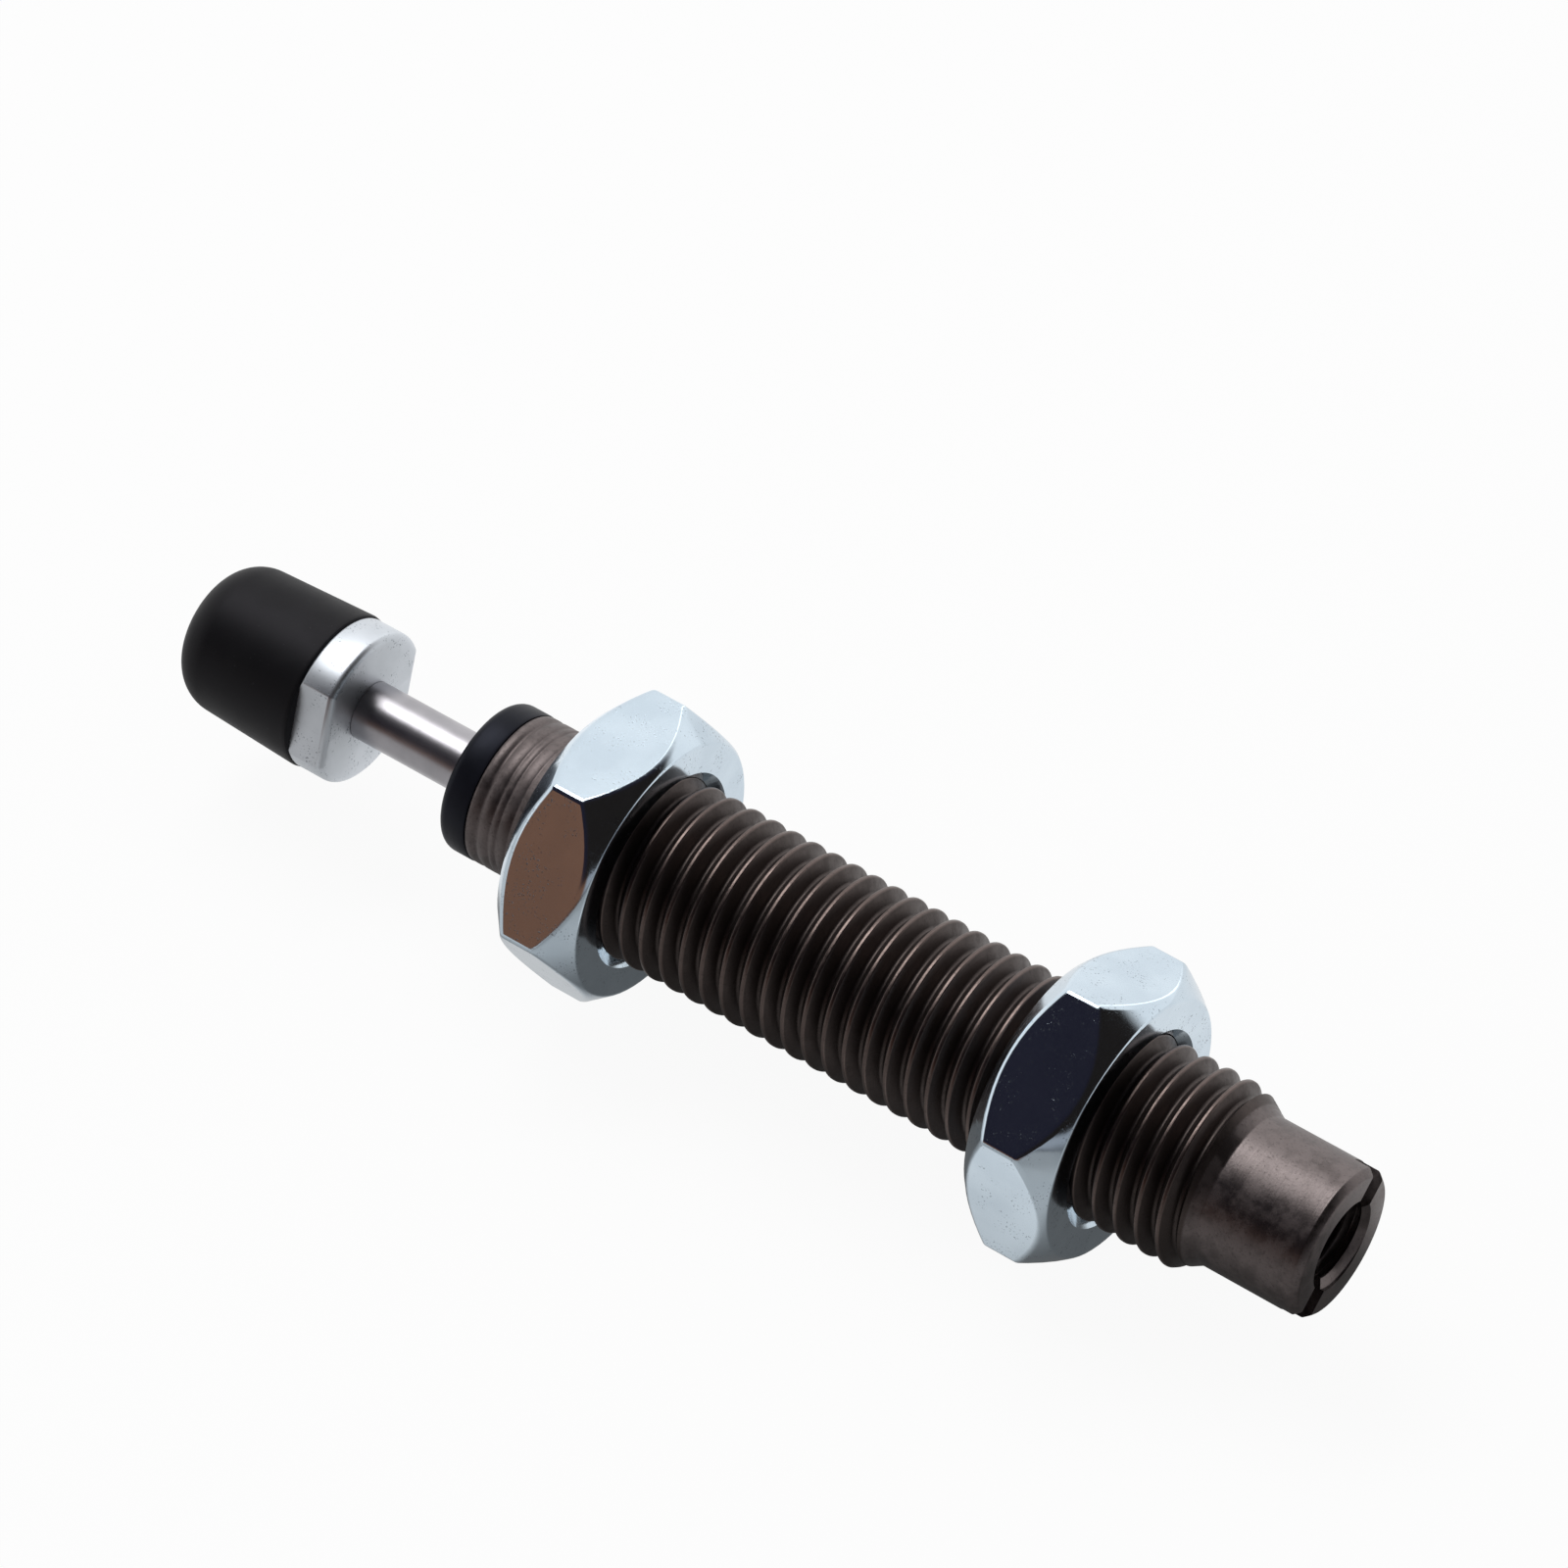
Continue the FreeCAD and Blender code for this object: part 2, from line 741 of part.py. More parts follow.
def make_ball():
    """Steel ball that closes the oil port."""
    ball = doc.addObject("Part::Sphere", "port_ball")
    ball.Label = "port_ball"
    bind(ball, "Radius", "ball_dia / 2")
    bind(ball, "Placement.Base.x", "ball_station")
    doc.recompute()
    return ball


def make_fill_plug():
    """Set screw that presses the ball on the port, with a hexagon socket at the rear."""
    outer = "fill_hole_dia / 2 - plug_clearance"
    body = turned_body(
        "fill_plug",
        [
            ("0", "0"),
            ("0", outer + " - plug_chamfer"),
            ("plug_chamfer", outer),
            ("plug_length - plug_chamfer", outer),
            ("plug_length", outer + " - plug_chamfer"),
            ("plug_length", "0"),
        ],
        "plug_station",
    )
    sketch = new_sketch(body, "YZ_Plane")
    draw_outline(sketch, hexagon("socket_flats"))
    pocket(body, sketch, "socket_depth", True)
    return body


def make_rod_head():
    """Head on the rod: a round plate with two wrench flats, and a grooved stub for the bumper."""
    body = new_body("rod_head", "head_station", "head_turn")
    plate = "head_dia / 2"
    stub = "stub_dia / 2"
    groove_floor = "stub_dia / 2 - barb_depth"
    groove_start = "head_thickness + barb_station"
    groove_end = "head_thickness + barb_station + barb_width"
    tip = "head_thickness + stub_length"
    corners = [
        ("0", "tenon_dia / 2"),
        ("tenon_length", "tenon_dia / 2"),
        ("tenon_length", "0"),
        (tip, "0"),
        (tip, stub),
        (groove_end, stub),
        (groove_end, groove_floor),
        (groove_start, groove_floor),
        (groove_start, stub),
        ("head_thickness", stub),
        ("head_thickness", plate + " - head_edge"),
        ("head_thickness - head_edge", plate),
        ("head_edge", plate),
        ("0", plate + " - head_edge"),
    ]
    turn_about_axis(body, "PartDesign::Revolution", corners)
    sketch = new_sketch(body, "YZ_Plane")
    flat = "head_flats / 2"
    for sign in ("", "-"):
        draw_outline(
            sketch,
            [
                ("-head_dia", sign + flat),
                ("head_dia", sign + flat),
                ("head_dia", sign + "head_dia"),
                ("-head_dia", sign + "head_dia"),
            ],
        )
    pocket(body, sketch, "head_thickness", True)
    return body


def make_bumper():
    """Resilient cap pressed over the stub of the head. Its side tapers, and its nose is a low crown
    that runs into the side round a corner. Both meet the corner's arc without a kink."""
    stub = "stub_dia / 2"
    rib = "stub_dia / 2 - barb_depth"
    crown_end = (
        "bumper_corner_station + crown_share * (crown_radius - nose_reach)",
        "corner_height + crown_share * corner_height",
    )
    side_end = (
        "bumper_corner_station + bumper_corner_radius * sin(bumper_draft * 1deg)",
        "corner_height + bumper_corner_radius * cos(bumper_draft * 1deg)",
    )
    body = turned_body(
        "bumper_cap",
        [
            ("0", stub),
            ("barb_station", stub),
            ("barb_station", rib),
            ("barb_station + barb_width", rib),
            ("barb_station + barb_width", stub),
            ("stub_length", stub),
            ("stub_length", "0"),
            ("bumper_length", "0"),
            ("bumper_length", "bumper_tip_dia / 2"),
            crown_end,
            side_end,
            ("0", "bumper_base_dia / 2"),
        ],
        "bumper_station",
        bends={8: "crown_radius", 9: "bumper_corner_radius"},
    )
    return body


def check_state():
    """Every object of the document is sound, and every piece is one closed valid shape."""
    for thing in doc.Objects:
        bad = [word for word in thing.State if word in ("Invalid", "Error")]
        if bad:
            raise RuntimeError("%s: %s" % (thing.Label, bad))


def write_pieces(pieces):
    os.makedirs("parts", exist_ok=True)
    for piece in pieces:
        shape = piece.Shape
        if shape.isNull() or not shape.isValid():
            raise RuntimeError("bad shape: " + piece.Label)
        print(piece.Label, len(shape.Solids), round(shape.Volume, 3), shape.BoundBox)
    check_state()
    for piece in pieces:
        piece.Shape.exportStep("parts/%s.step" % piece.Label)


fill_sheet()
PIECES = [
    make_barrel(),
    make_front_cap(),
    make_rod_wiper(),
    make_rod_seal(),
    make_seal_washer(),
    make_rod_bearing(),
    make_bearing_ring(),
    make_foam(),
    make_pressure_tube(),
    make_spring_seat(),
    make_return_spring(),
    make_ball(),
    make_fill_plug(),
    make_piston_rod(),
    make_piston(),
    make_piston_ring(),
    make_tail_nut(),
    make_rod_head(),
    make_bumper(),
    make_lock_nut("front_lock_nut", "front_nut_station", "front_nut_turn"),
    make_lock_nut("rear_lock_nut", "rear_nut_station", "rear_nut_turn"),
]
doc.recompute()
write_pieces(PIECES)
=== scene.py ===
import json
import math

import bpy
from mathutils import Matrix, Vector


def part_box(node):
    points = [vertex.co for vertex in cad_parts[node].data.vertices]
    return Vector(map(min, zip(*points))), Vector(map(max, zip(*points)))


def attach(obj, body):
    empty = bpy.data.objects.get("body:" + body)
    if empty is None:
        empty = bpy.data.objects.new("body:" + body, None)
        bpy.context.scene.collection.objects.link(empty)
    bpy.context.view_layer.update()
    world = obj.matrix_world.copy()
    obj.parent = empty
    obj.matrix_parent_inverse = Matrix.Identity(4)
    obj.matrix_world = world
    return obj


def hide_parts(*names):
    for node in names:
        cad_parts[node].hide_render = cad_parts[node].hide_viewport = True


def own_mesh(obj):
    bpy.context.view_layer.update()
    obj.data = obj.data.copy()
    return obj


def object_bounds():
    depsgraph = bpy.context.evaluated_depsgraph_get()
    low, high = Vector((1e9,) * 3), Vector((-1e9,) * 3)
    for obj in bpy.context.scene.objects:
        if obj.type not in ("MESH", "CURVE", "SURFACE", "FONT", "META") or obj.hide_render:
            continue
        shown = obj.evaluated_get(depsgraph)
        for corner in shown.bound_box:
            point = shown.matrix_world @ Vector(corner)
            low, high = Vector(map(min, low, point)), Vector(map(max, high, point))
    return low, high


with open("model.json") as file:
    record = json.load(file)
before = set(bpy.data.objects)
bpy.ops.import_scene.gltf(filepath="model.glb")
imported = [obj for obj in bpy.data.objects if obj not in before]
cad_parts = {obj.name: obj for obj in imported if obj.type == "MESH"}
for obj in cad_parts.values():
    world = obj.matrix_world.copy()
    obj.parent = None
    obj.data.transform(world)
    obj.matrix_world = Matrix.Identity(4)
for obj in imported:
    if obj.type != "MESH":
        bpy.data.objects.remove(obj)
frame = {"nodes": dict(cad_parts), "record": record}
cad_low, cad_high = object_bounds()

# Looks of a miniature hydraulic shock absorber. X runs along the rod, from the rear end face
# towards the bumper. Outlines are in millimetres, as pairs of a station along X and a radius.

MM = 0.001
FULL_TURN = 2 * math.pi
ROUND_STEPS = 144  # Facets round a turned piece
THREAD_STEPS = 96  # Facets in one turn of a thread
WELD = 0.0005 * MM  # Points closer than this are one
SLIVER_SIDES = 6  # A hole left by a merged sliver has at most this many sides
SMOOTH_ANGLE = math.radians(38)  # Edges that turn more than this stay sharp
EASE_ANGLE = math.radians(28)  # Edges that turn more than this are rounded
FLANK_TANGENT = math.tan(math.radians(30))  # Flanks of a sixty degree thread


def ends_of(node):
    """First and last station of a node of the frame, in millimetres."""
    low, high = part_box(node)
    return low.x / MM, high.x / MM


def radius_of(node):
    """Outer radius of a turned node of the frame, in millimetres."""
    low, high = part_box(node)
    return (high.z - low.z) / 2 / MM


BODY_REAR, BODY_FRONT = ends_of("barrel")
CREST_RADIUS = radius_of("barrel")
CAP_REAR, CAP_FRONT = ends_of("front_cap")
ROD_REAR, ROD_FRONT = ends_of("piston_rod")
ROD_RADIUS = radius_of("piston_rod")
HEAD_REAR, HEAD_FRONT = ends_of("rod_head")
BUMPER_REAR, BUMPER_FRONT = ends_of("bumper_cap")
BUMPER_RADIUS = radius_of("bumper_cap")
PLUG_REAR, PLUG_FRONT = ends_of("fill_plug")

# Body
PITCH = 1.0
ROOT_RADIUS = CREST_RADIUS - 0.59 * PITCH
THREAD_REAR = 5.1  # The thread's finish starts here and ends at the next one
THREAD_FRONT = BODY_FRONT - 3.7
CREST_BEND = 0.07
ROOT_BEND = 0.15
THREAD_PHASE = -0.25
SPIGOT_RADIUS = 3.28
SPIGOT_LENGTH = 4.7
NECK_RADIUS = 3.33
NECK_LENGTH = 3.6
THREAD_CHAMFER = 0.6
THREAD_REAR_CHAMFER = 1.2
BORE_RADIUS = 2.7
BORE_FLOOR = 9.4
SLOT_WIDTH = 1.2
SLOT_DEPTH = 1.0
SLOT_TURN = math.radians(52)
CAP_RADIUS = 3.35
CAP_BEND = 0.45
WIPER_RADIUS = 2.1
WIPER_DEPTH = 1.6
FILL_HOLE_RADIUS = 1.65
FILL_THREAD_RADIUS = 2.0
FILL_THREAD_PITCH = 0.7
FILL_HOLE_DEPTH = 7.6
FILL_THREAD_END = FILL_HOLE_DEPTH - 0.3
FILL_MOUTH = 0.35
PORT_RADIUS = 0.6
DRILL_POINT = math.radians(59)  # Half the angle of a drill's point
OVERRUN = 0.5  # How far a thread runs past what it is cut in
PLUG_CLEARANCE = 0.02
PLUG_SOCKET_FLATS = 2.0
PLUG_SOCKET_DEPTH = 1.3
# Shallow tool grooves in the neck: station, width and depth
NECK_GROOVES = [(39.85, 0.34, 0.07), (39.2, 0.2, 0.03), (38.84, 0.16, 0.03), (38.3, 0.16, 0.025)]
# Lock nuts
NUT_FLATS = 11.8
NUT_FRONT_RADIUS = 5.4
NUT_FRONT_ANGLE = math.radians(41)
NUT_REAR_RADIUS = 5.7
NUT_REAR_ANGLE = math.radians(52)
NUT_FACE_BEND = 0.18
NUT_EDGE = 0.17
NUT_STEPS = 72  # Facets round a nut, so each one is longer than its rounded edges are wide
NUT_CLEARANCE = 0.05
NUT_COUNTERSINK = 0.35
NUT_MINOR_RADIUS = CREST_RADIUS - 0.5 * PITCH
NUT_TURNS = {"front_lock_nut": math.radians(2.4), "rear_lock_nut": math.radians(26.8)}
# Head on the rod
HEAD_RADIUS = 3.42  # The frame has 3.5, and the photo a little less
HEAD_THICKNESS = 1.7
HEAD_BEND = 0.3
HEAD_FRONT_BEND = 0.12
HEAD_RING = 0.25  # Rings this far from the edges of the rear face keep its shading even
HEAD_REST_GAP = 0.02  # Keeps the head clear of the cap when the rod is right in
HEAD_FLAT = 2.95
HEAD_TURN = math.radians(108)
STUB_RADIUS = 1.5
BARB_STATION = 0.7
BARB_WIDTH = 1.1
BARB_DEPTH = 0.3
STUB_LENGTH = 3.6
TENON_RADIUS = 0.9
TENON_LENGTH = 3.0
# Bumper: a tapered side, a rounded corner and a crowned nose
BUMPER_DRAFT = math.radians(2.6)
BUMPER_CORNER_STATION = 4.75
BUMPER_CORNER_BEND = 1.8


def only(piece):
    """Make one piece the selected and active one."""
    bpy.ops.object.select_all(action="DESELECT")
    piece.select_set(True)
    bpy.context.view_layer.objects.active = piece


def start_edit(piece):
    """Open a piece's mesh with all of it selected."""
    only(piece)
    bpy.ops.object.mode_set(mode="EDIT")
    bpy.ops.mesh.select_all(action="SELECT")


def end_edit():
    """Close the mesh that is open."""
    bpy.ops.object.mode_set(mode="OBJECT")


def apply_modifier(piece, kind, **settings):
    """Add a modifier to a piece and work it into the mesh."""
    modifier = piece.modifiers.new(kind.lower(), kind)
    for name, value in settings.items():
        setattr(modifier, name, value)
    only(piece)
    bpy.ops.object.modifier_apply(modifier=modifier.name)


def cut(piece, tool, operation="DIFFERENCE"):
    """Work one piece with another, which is used up."""
    apply_modifier(piece, "BOOLEAN", operation=operation, object=tool, solver="EXACT")
    bpy.data.objects.remove(tool)


def chain(name, outline):
    """A string of edges through the points of an outline, left open in edit mode."""
    bpy.ops.object.select_all(action="DESELECT")
    bpy.ops.mesh.primitive_plane_add(size=MM)
    piece = bpy.context.object
    piece.name = name
    piece.data.name = name
    bpy.ops.object.mode_set(mode="EDIT")
    bpy.ops.mesh.select_all(action="SELECT")
    bpy.ops.mesh.merge(type="CENTER")
    spots = [Vector((station, 0, radius)) * MM for station, radius in outline]
    bpy.ops.transform.translate(value=spots[0])
    for before, after in zip(spots, spots[1:]):
        bpy.ops.mesh.extrude_region_move(TRANSFORM_OT_translate={"value": after - before})
    return piece


def close_mesh():
    """Merge the seams of the mesh in edit mode and turn its faces outwards."""
    bpy.ops.mesh.select_all(action="SELECT")
    bpy.ops.mesh.remove_doubles(threshold=WELD)
    bpy.ops.mesh.normals_make_consistent(inside=False)
    end_edit()


def turned(name, outline, steps=ROUND_STEPS):
    """Spin an outline round the X axis. One that starts off the axis is a closed loop."""
    if outline[0][1] > 0:
        outline = outline + outline[:1]
    piece = chain(name, outline)
    bpy.ops.mesh.select_all(action="SELECT")
    bpy.ops.mesh.spin(steps=steps, angle=FULL_TURN, center=(0, 0, 0), axis=(1, 0, 0))
    close_mesh()
    return piece


def arc(station, radius, bend, first, last, count):
    """Points of an outline on an arc round a centre. Angles are in degrees, 0 along X, 90 outwards."""
    points = []
    for i in range(count + 1):
        angle = math.radians(first + (last - first) * i / count)
        points.append((station + bend * math.cos(angle), radius + bend * math.sin(angle)))
    return points


def fillet(before, corner, after, bend, count=6):
    """Points of an arc that rounds the corner between two straight lines of an outline."""
    corner = Vector(corner)
    back = (Vector(before) - corner).normalized()
    ahead = (Vector(after) - corner).normalized()
    half = back.angle(ahead) / 2
    middle = corner + (back + ahead).normalized() * bend / math.sin(half)
    start = corner + back * bend / math.tan(half) - middle
    end = corner + ahead * bend / math.tan(half) - middle
    first = math.degrees(math.atan2(start.y, start.x))
    sweep = math.degrees(math.atan2(start.cross(end), start.dot(end)))
    return arc(middle.x, middle.y, bend, first, first + sweep, count)


def thread_form(crest, root, pitch, crest_bend, root_bend, root_flat=0.0):
    """One pitch of a sixty degree thread, from the middle of a root to the middle of the next."""
    bottom = root_flat / 2 + root_bend * FLANK_TANGENT
    top = bottom + (crest - root) * FLANK_TANGENT
    up = arc(root_flat / 2, root + root_bend, root_bend, 270, 330, 4) if root_bend else [(bottom, root)]
    over = arc(top + crest_bend * FLANK_TANGENT, crest - crest_bend, crest_bend, 150, 90, 4)
    rising = ([(0.0, root)] if root_flat else []) + up + over
    falling = [(pitch - station, radius) for station, radius in reversed(rising)]
    return rising + falling


def threaded_rod(name, first, last, form, pitch, phase=0.0):
    """A rod with a right-hand thread, cut square at both ends. Its turns are counted from the rear
    face, so a nut's thread and the body's are in step."""
    turns = math.ceil((last - first) / pitch) + 4
    begin = pitch * (math.floor(first / pitch) - 2 + phase)
    piece = chain(name, [(begin + station, radius) for station, radius in form])
    end_edit()
    apply_modifier(
        piece,
        "SCREW",
        axis="X",
        angle=FULL_TURN,
        screw_offset=pitch * MM,
        iterations=turns,
        steps=THREAD_STEPS,
        render_steps=THREAD_STEPS,
        use_merge_vertices=False,
    )
    start_edit(piece)
    bpy.ops.mesh.remove_doubles(threshold=WELD)
    for station, side in ((first, -1), (last, 1)):
        bpy.ops.mesh.select_all(action="SELECT")
        bpy.ops.mesh.bisect(
            plane_co=(station * MM, 0, 0),
            plane_no=(side, 0, 0),
            use_fill=True,
            clear_outer=True,
            threshold=WELD / 10,
        )
    close_mesh()
    return piece


def block(name, low, high):
    """A box between two corners, in millimetres."""
    bpy.ops.object.select_all(action="DESELECT")
    middle = [(a + b) / 2 * MM for a, b in zip(low, high)]
    sides = [(b - a) * MM for a, b in zip(low, high)]
    bpy.ops.mesh.primitive_cube_add(size=1, location=middle, scale=sides)
    piece = bpy.context.object
    piece.name = name
    settle(piece)
    return piece


def settle(piece):
    """Put a piece's place and turn into its mesh."""
    only(piece)
    bpy.ops.object.transform_apply(location=True, rotation=True, scale=True)


def turn_about_rod(piece, angle):
    """Turn a piece about the rod's axis."""
    piece.rotation_euler.x = angle
    settle(piece)


def hexagon_bar(name, first, last, flats, turn):
    """A hexagon bar along the rod's axis, given its size across flats."""
    bpy.ops.object.select_all(action="DESELECT")
    bpy.ops.mesh.primitive_cylinder_add(
        vertices=6,
        radius=flats / 2 / math.cos(math.pi / 6) * MM,
        depth=(last - first) * MM,
        location=((first + last) / 2 * MM, 0, 0),
        rotation=(0, math.pi / 2, 0),
    )
    piece = bpy.context.object
    piece.name = name
    settle(piece)
    turn_about_rod(piece, turn)
    return piece


def ease_edges(piece, width, segments):
    """Round the sharp edges of a piece."""
    apply_modifier(
        piece,
        "BEVEL",
        width=width * MM,
        segments=segments,
        limit_method="ANGLE",
        angle_limit=EASE_ANGLE,
        use_clamp_overlap=False,
        miter_outer="MITER_ARC",
    )


def clean(piece):
    """Merge the slivers that cutting leaves."""
    start_edit(piece)
    bpy.ops.mesh.remove_doubles(threshold=WELD)
    bpy.ops.mesh.select_all(action="SELECT")
    bpy.ops.mesh.dissolve_degenerate(threshold=WELD)
    bpy.ops.mesh.select_all(action="SELECT")
    bpy.ops.mesh.fill_holes(sides=SLIVER_SIDES)
    end_edit()


def smooth(piece):
    """Round shading that leaves broad faces true."""
    clean(piece)
    only(piece)
    bpy.ops.object.shade_smooth_by_angle(angle=SMOOTH_ANGLE)
    apply_modifier(piece, "WEIGHTED_NORMAL", weight=50, keep_sharp=True)


def fit(piece, body, slot, finish, *nodes):
    """Finish a piece and let it stand for nodes of the frame."""
    smooth(piece)
    piece.data.materials.clear()
    piece.data.materials.append(finish)
    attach(piece, body)
    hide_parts(*nodes)


class Wire:
    """A socket of a shader. Arithmetic on it adds Math nodes."""

    def __init__(self, sheet, socket):
        self.sheet = sheet
        self.socket = socket

    def maths(self, operation, first, second):
        return self.sheet.node("ShaderNodeMath", {"operation": operation}, {0: first, 1: second})

    def __add__(self, other):
        return self.maths("ADD", self, other)

    def __sub__(self, other):
        return self.maths("SUBTRACT", self, other)

    def __rsub__(self, other):
        return self.maths("SUBTRACT", other, self)

    def __mul__(self, other):
        return self.maths("MULTIPLY", self, other)

    def __truediv__(self, other):
        return self.maths("DIVIDE", self, other)

    def __pow__(self, other):
        return self.maths("POWER", self, other)

    __radd__ = __add__


class Sheet:
    """The node tree of a material or of the world."""

    def __init__(self, tree):
        self.tree = tree
        tree.nodes.clear()

    def node(self, kind, settings=None, inputs=None, output=0):
        """Add a node, with its settings first, then what feeds its sockets."""
        made = self.tree.nodes.new(kind)
        for name, value in (settings or {}).items():
            setattr(made, name, value)
        for name, value in (inputs or {}).items():
            if isinstance(value, Wire):
                self.tree.links.new(value.socket, made.inputs[name])
            else:
                made.inputs[name].default_value = value
        return Wire(self, made.outputs[output]) if made.outputs else None

    def place(self):
        """The point on the piece, in metres in the row's frame."""
        return self.node("ShaderNodeTexCoord", output="Object")

    def split(self, vector):
        return [self.node("ShaderNodeSeparateXYZ", None, {0: vector}, axis) for axis in "XYZ"]

    def noise(self, size, detail=2.0, rough=0.5, stretch=(1, 1, 1), shift=(0, 0, 0)):
        """Noise whose lumps are about a size across, in millimetres, drawn out along the axes."""
        scale = [1 / (size * MM * factor) for factor in stretch]
        vector = self.node(
            "ShaderNodeMapping", None, {"Vector": self.place(), "Scale": scale, "Location": shift}
        )
        inputs = {"Vector": vector, "Scale": 1.0, "Detail": detail, "Roughness": rough}
        return self.node("ShaderNodeTexNoise", {"noise_dimensions": "3D"}, inputs)

    def ramp(self, value, low, high, first=0.0, last=1.0):
        """Run smoothly from one number to another while a value runs from low to high."""
        inputs = {"Value": value, 1: low, 2: high, 3: first, 4: last}
        settings = {"interpolation_type": "SMOOTHSTEP", "clamp": True}
        return self.node("ShaderNodeMapRange", settings, inputs)

    def blend(self, factor, first, second):
        colours = [(*c, 1) if isinstance(c, tuple) else c for c in (first, second)]
        settings = {"data_type": "RGBA", "blend_type": "MIX"}
        inputs = {0: factor, 6: colours[0], 7: colours[1]}
        return self.node("ShaderNodeMix", settings, inputs, 2)

    def bump(self, height, depth):
        """Bumps of a depth in micrometres."""
        inputs = {"Height": height, "Distance": depth * MM * MM, "Strength": 1.0}
        return self.node("ShaderNodeBump", None, inputs)

    def distance_from_rod(self):
        """Distance from the rod's axis, in millimetres."""
        _, across, up = self.split(self.place())
        return (across * across + up * up) ** 0.5 / MM

    def station(self):
        return self.split(self.place())[0] / MM


def finish_of(name, surface, **fixed):
    """A material. The function surface draws what varies and gives the sockets that it feeds."""
    material = bpy.data.materials.new(name)
    material.use_nodes = True
    sheet = Sheet(material.node_tree)
    inputs = dict(fixed)
    inputs.update(surface(sheet))
    inputs = {key: (*v, 1) if isinstance(v, tuple) and len(v) == 3 else v for key, v in inputs.items()}
    shader = sheet.node("ShaderNodeBsdfPrincipled", None, inputs)
    sheet.node("ShaderNodeOutputMaterial", None, {"Surface": shader})
    return material


def burnished_steel(sheet):
    """Dark brown turned steel, darker on the thread, mottled and finely marked on the plain ends. It
    holds painted light: the thread's lighter crests are a painted highlight, and its darker roots and
    the neck's darker grooves are painted shade.
    """
    radius = sheet.distance_from_rod()
    station = sheet.station()
    patches = sheet.noise(0.9, 5.0, 0.65)
    grain = sheet.noise(0.11, 3.0, 0.6)
    marks = sheet.noise(0.05, 3.0, 0.6, stretch=(1, 60, 60))
    rings = sheet.noise(0.3, 2.0, 0.5, stretch=(1, 40, 40))
    neck = sheet.ramp(station, THREAD_FRONT - 0.1, THREAD_FRONT)
    threaded = sheet.ramp(station, THREAD_REAR, THREAD_REAR + 0.1) - neck
    crest = sheet.ramp(radius + patches * 0.03, 3.93, 3.995)
    # Mask of the thread's roots, which get painted shade
    root = 1 - sheet.ramp(radius, 3.42, 3.6)
    # Mask of the neck's grooves, which get painted shade
    neck_groove_shade = (1 - sheet.ramp(radius, 3.22, 3.3)) * neck
    plain = sheet.blend(sheet.ramp(patches, 0.38, 0.62), (0.118, 0.1, 0.098), (0.182, 0.155, 0.152))
    plain = sheet.blend(sheet.ramp(rings, 0.45, 0.7) * 0.15, plain, (0.2, 0.17, 0.165))
    plain = sheet.blend(neck_groove_shade * 0.6, plain, (0.06, 0.05, 0.05))
    # Painted light on the thread: crests lighter than the flanks as a painted highlight, roots darker
    # as painted shade
    painted_thread_light = sheet.blend(crest, (0.085, 0.069, 0.065), (0.13, 0.1, 0.092))
    painted_thread_light = sheet.blend(root * 0.3, painted_thread_light, (0.05, 0.042, 0.04))
    tone = sheet.blend(threaded, plain, painted_thread_light)
    tone = sheet.blend(sheet.ramp(grain, 0.56, 0.7) * 0.45, tone, (0.05, 0.042, 0.041))
    gloss = 0.26 + marks * 0.08 + grain * 0.12 + sheet.ramp(patches, 0.4, 0.65) * 0.12
    gloss = gloss + neck * 0.08 + threaded * (0.05 - crest * 0.1)
    normal = sheet.bump(marks + rings * 0.3 + grain + patches * 0.8, 3.2)
    return {"Base Color": tone, "Roughness": gloss, "Normal": normal}


def zinc(shade, colour, dull):
    """Bluish zinc plate with small pits and cloudy patches. A dull one is a rougher mirror."""

    def surface(sheet):
        clouds = sheet.noise(2.2, 4.0)
        fine = sheet.noise(0.12, 4.0, 0.65)
        specks = sheet.noise(0.09, 1.0, 0.5, shift=(7, 3, 5))
        few = sheet.ramp(sheet.noise(0.9, 2.0, 0.5, shift=(2, 9, 4)), 0.47, 0.6)
        pits = sheet.ramp(specks, 0.63, 0.69) * few
        plate = sheet.blend(sheet.ramp(clouds, 0.3, 0.7), shade, colour)
        plate = sheet.blend(pits * 0.75, plate, (0.2, 0.23, 0.26))
        gloss = 0.08 + dull + fine * 0.08 + pits * 0.15
        normal = sheet.bump(fine * 0.6 - pits * 0.9 + clouds * 0.4, 1.0)
        return {"Base Color": plate, "Roughness": gloss, "Normal": normal}

    return surface


def hard_chrome(sheet):
    """Ground and chromed rod: a mirror with faint marks round it."""
    marks = sheet.noise(0.04, 2.0, 0.5, stretch=(1, 50, 50))
    clouds = sheet.noise(1.2, 2.0)
    tone = sheet.blend(sheet.ramp(clouds, 0.3, 0.7), (0.37, 0.36, 0.38), (0.42, 0.408, 0.43))
    gloss = 0.29 + marks * 0.08
    return {"Base Color": tone, "Roughness": gloss, "Normal": sheet.bump(marks, 0.5)}


def bumper_urethane(sheet):
    """Matt black moulded bumper with a fine grain and a little dust."""
    grain = sheet.noise(0.06, 4.0, 0.6)
    clouds = sheet.noise(1.8, 3.0)
    dust = sheet.ramp(sheet.noise(0.11, 1.0, 0.5, shift=(4, 1, 8)), 0.74, 0.8)
    black = sheet.blend(sheet.ramp(clouds, 0.3, 0.7), (0.0025, 0.0025, 0.003), (0.004, 0.004, 0.0046))
    black = sheet.blend(dust * 0.3, black, (0.05, 0.05, 0.055))
    gloss = 0.46 + grain * 0.1 + sheet.ramp(clouds, 0.4, 0.7) * 0.06
    return {"Base Color": black, "Roughness": gloss, "Normal": sheet.bump(grain, 2.5)}


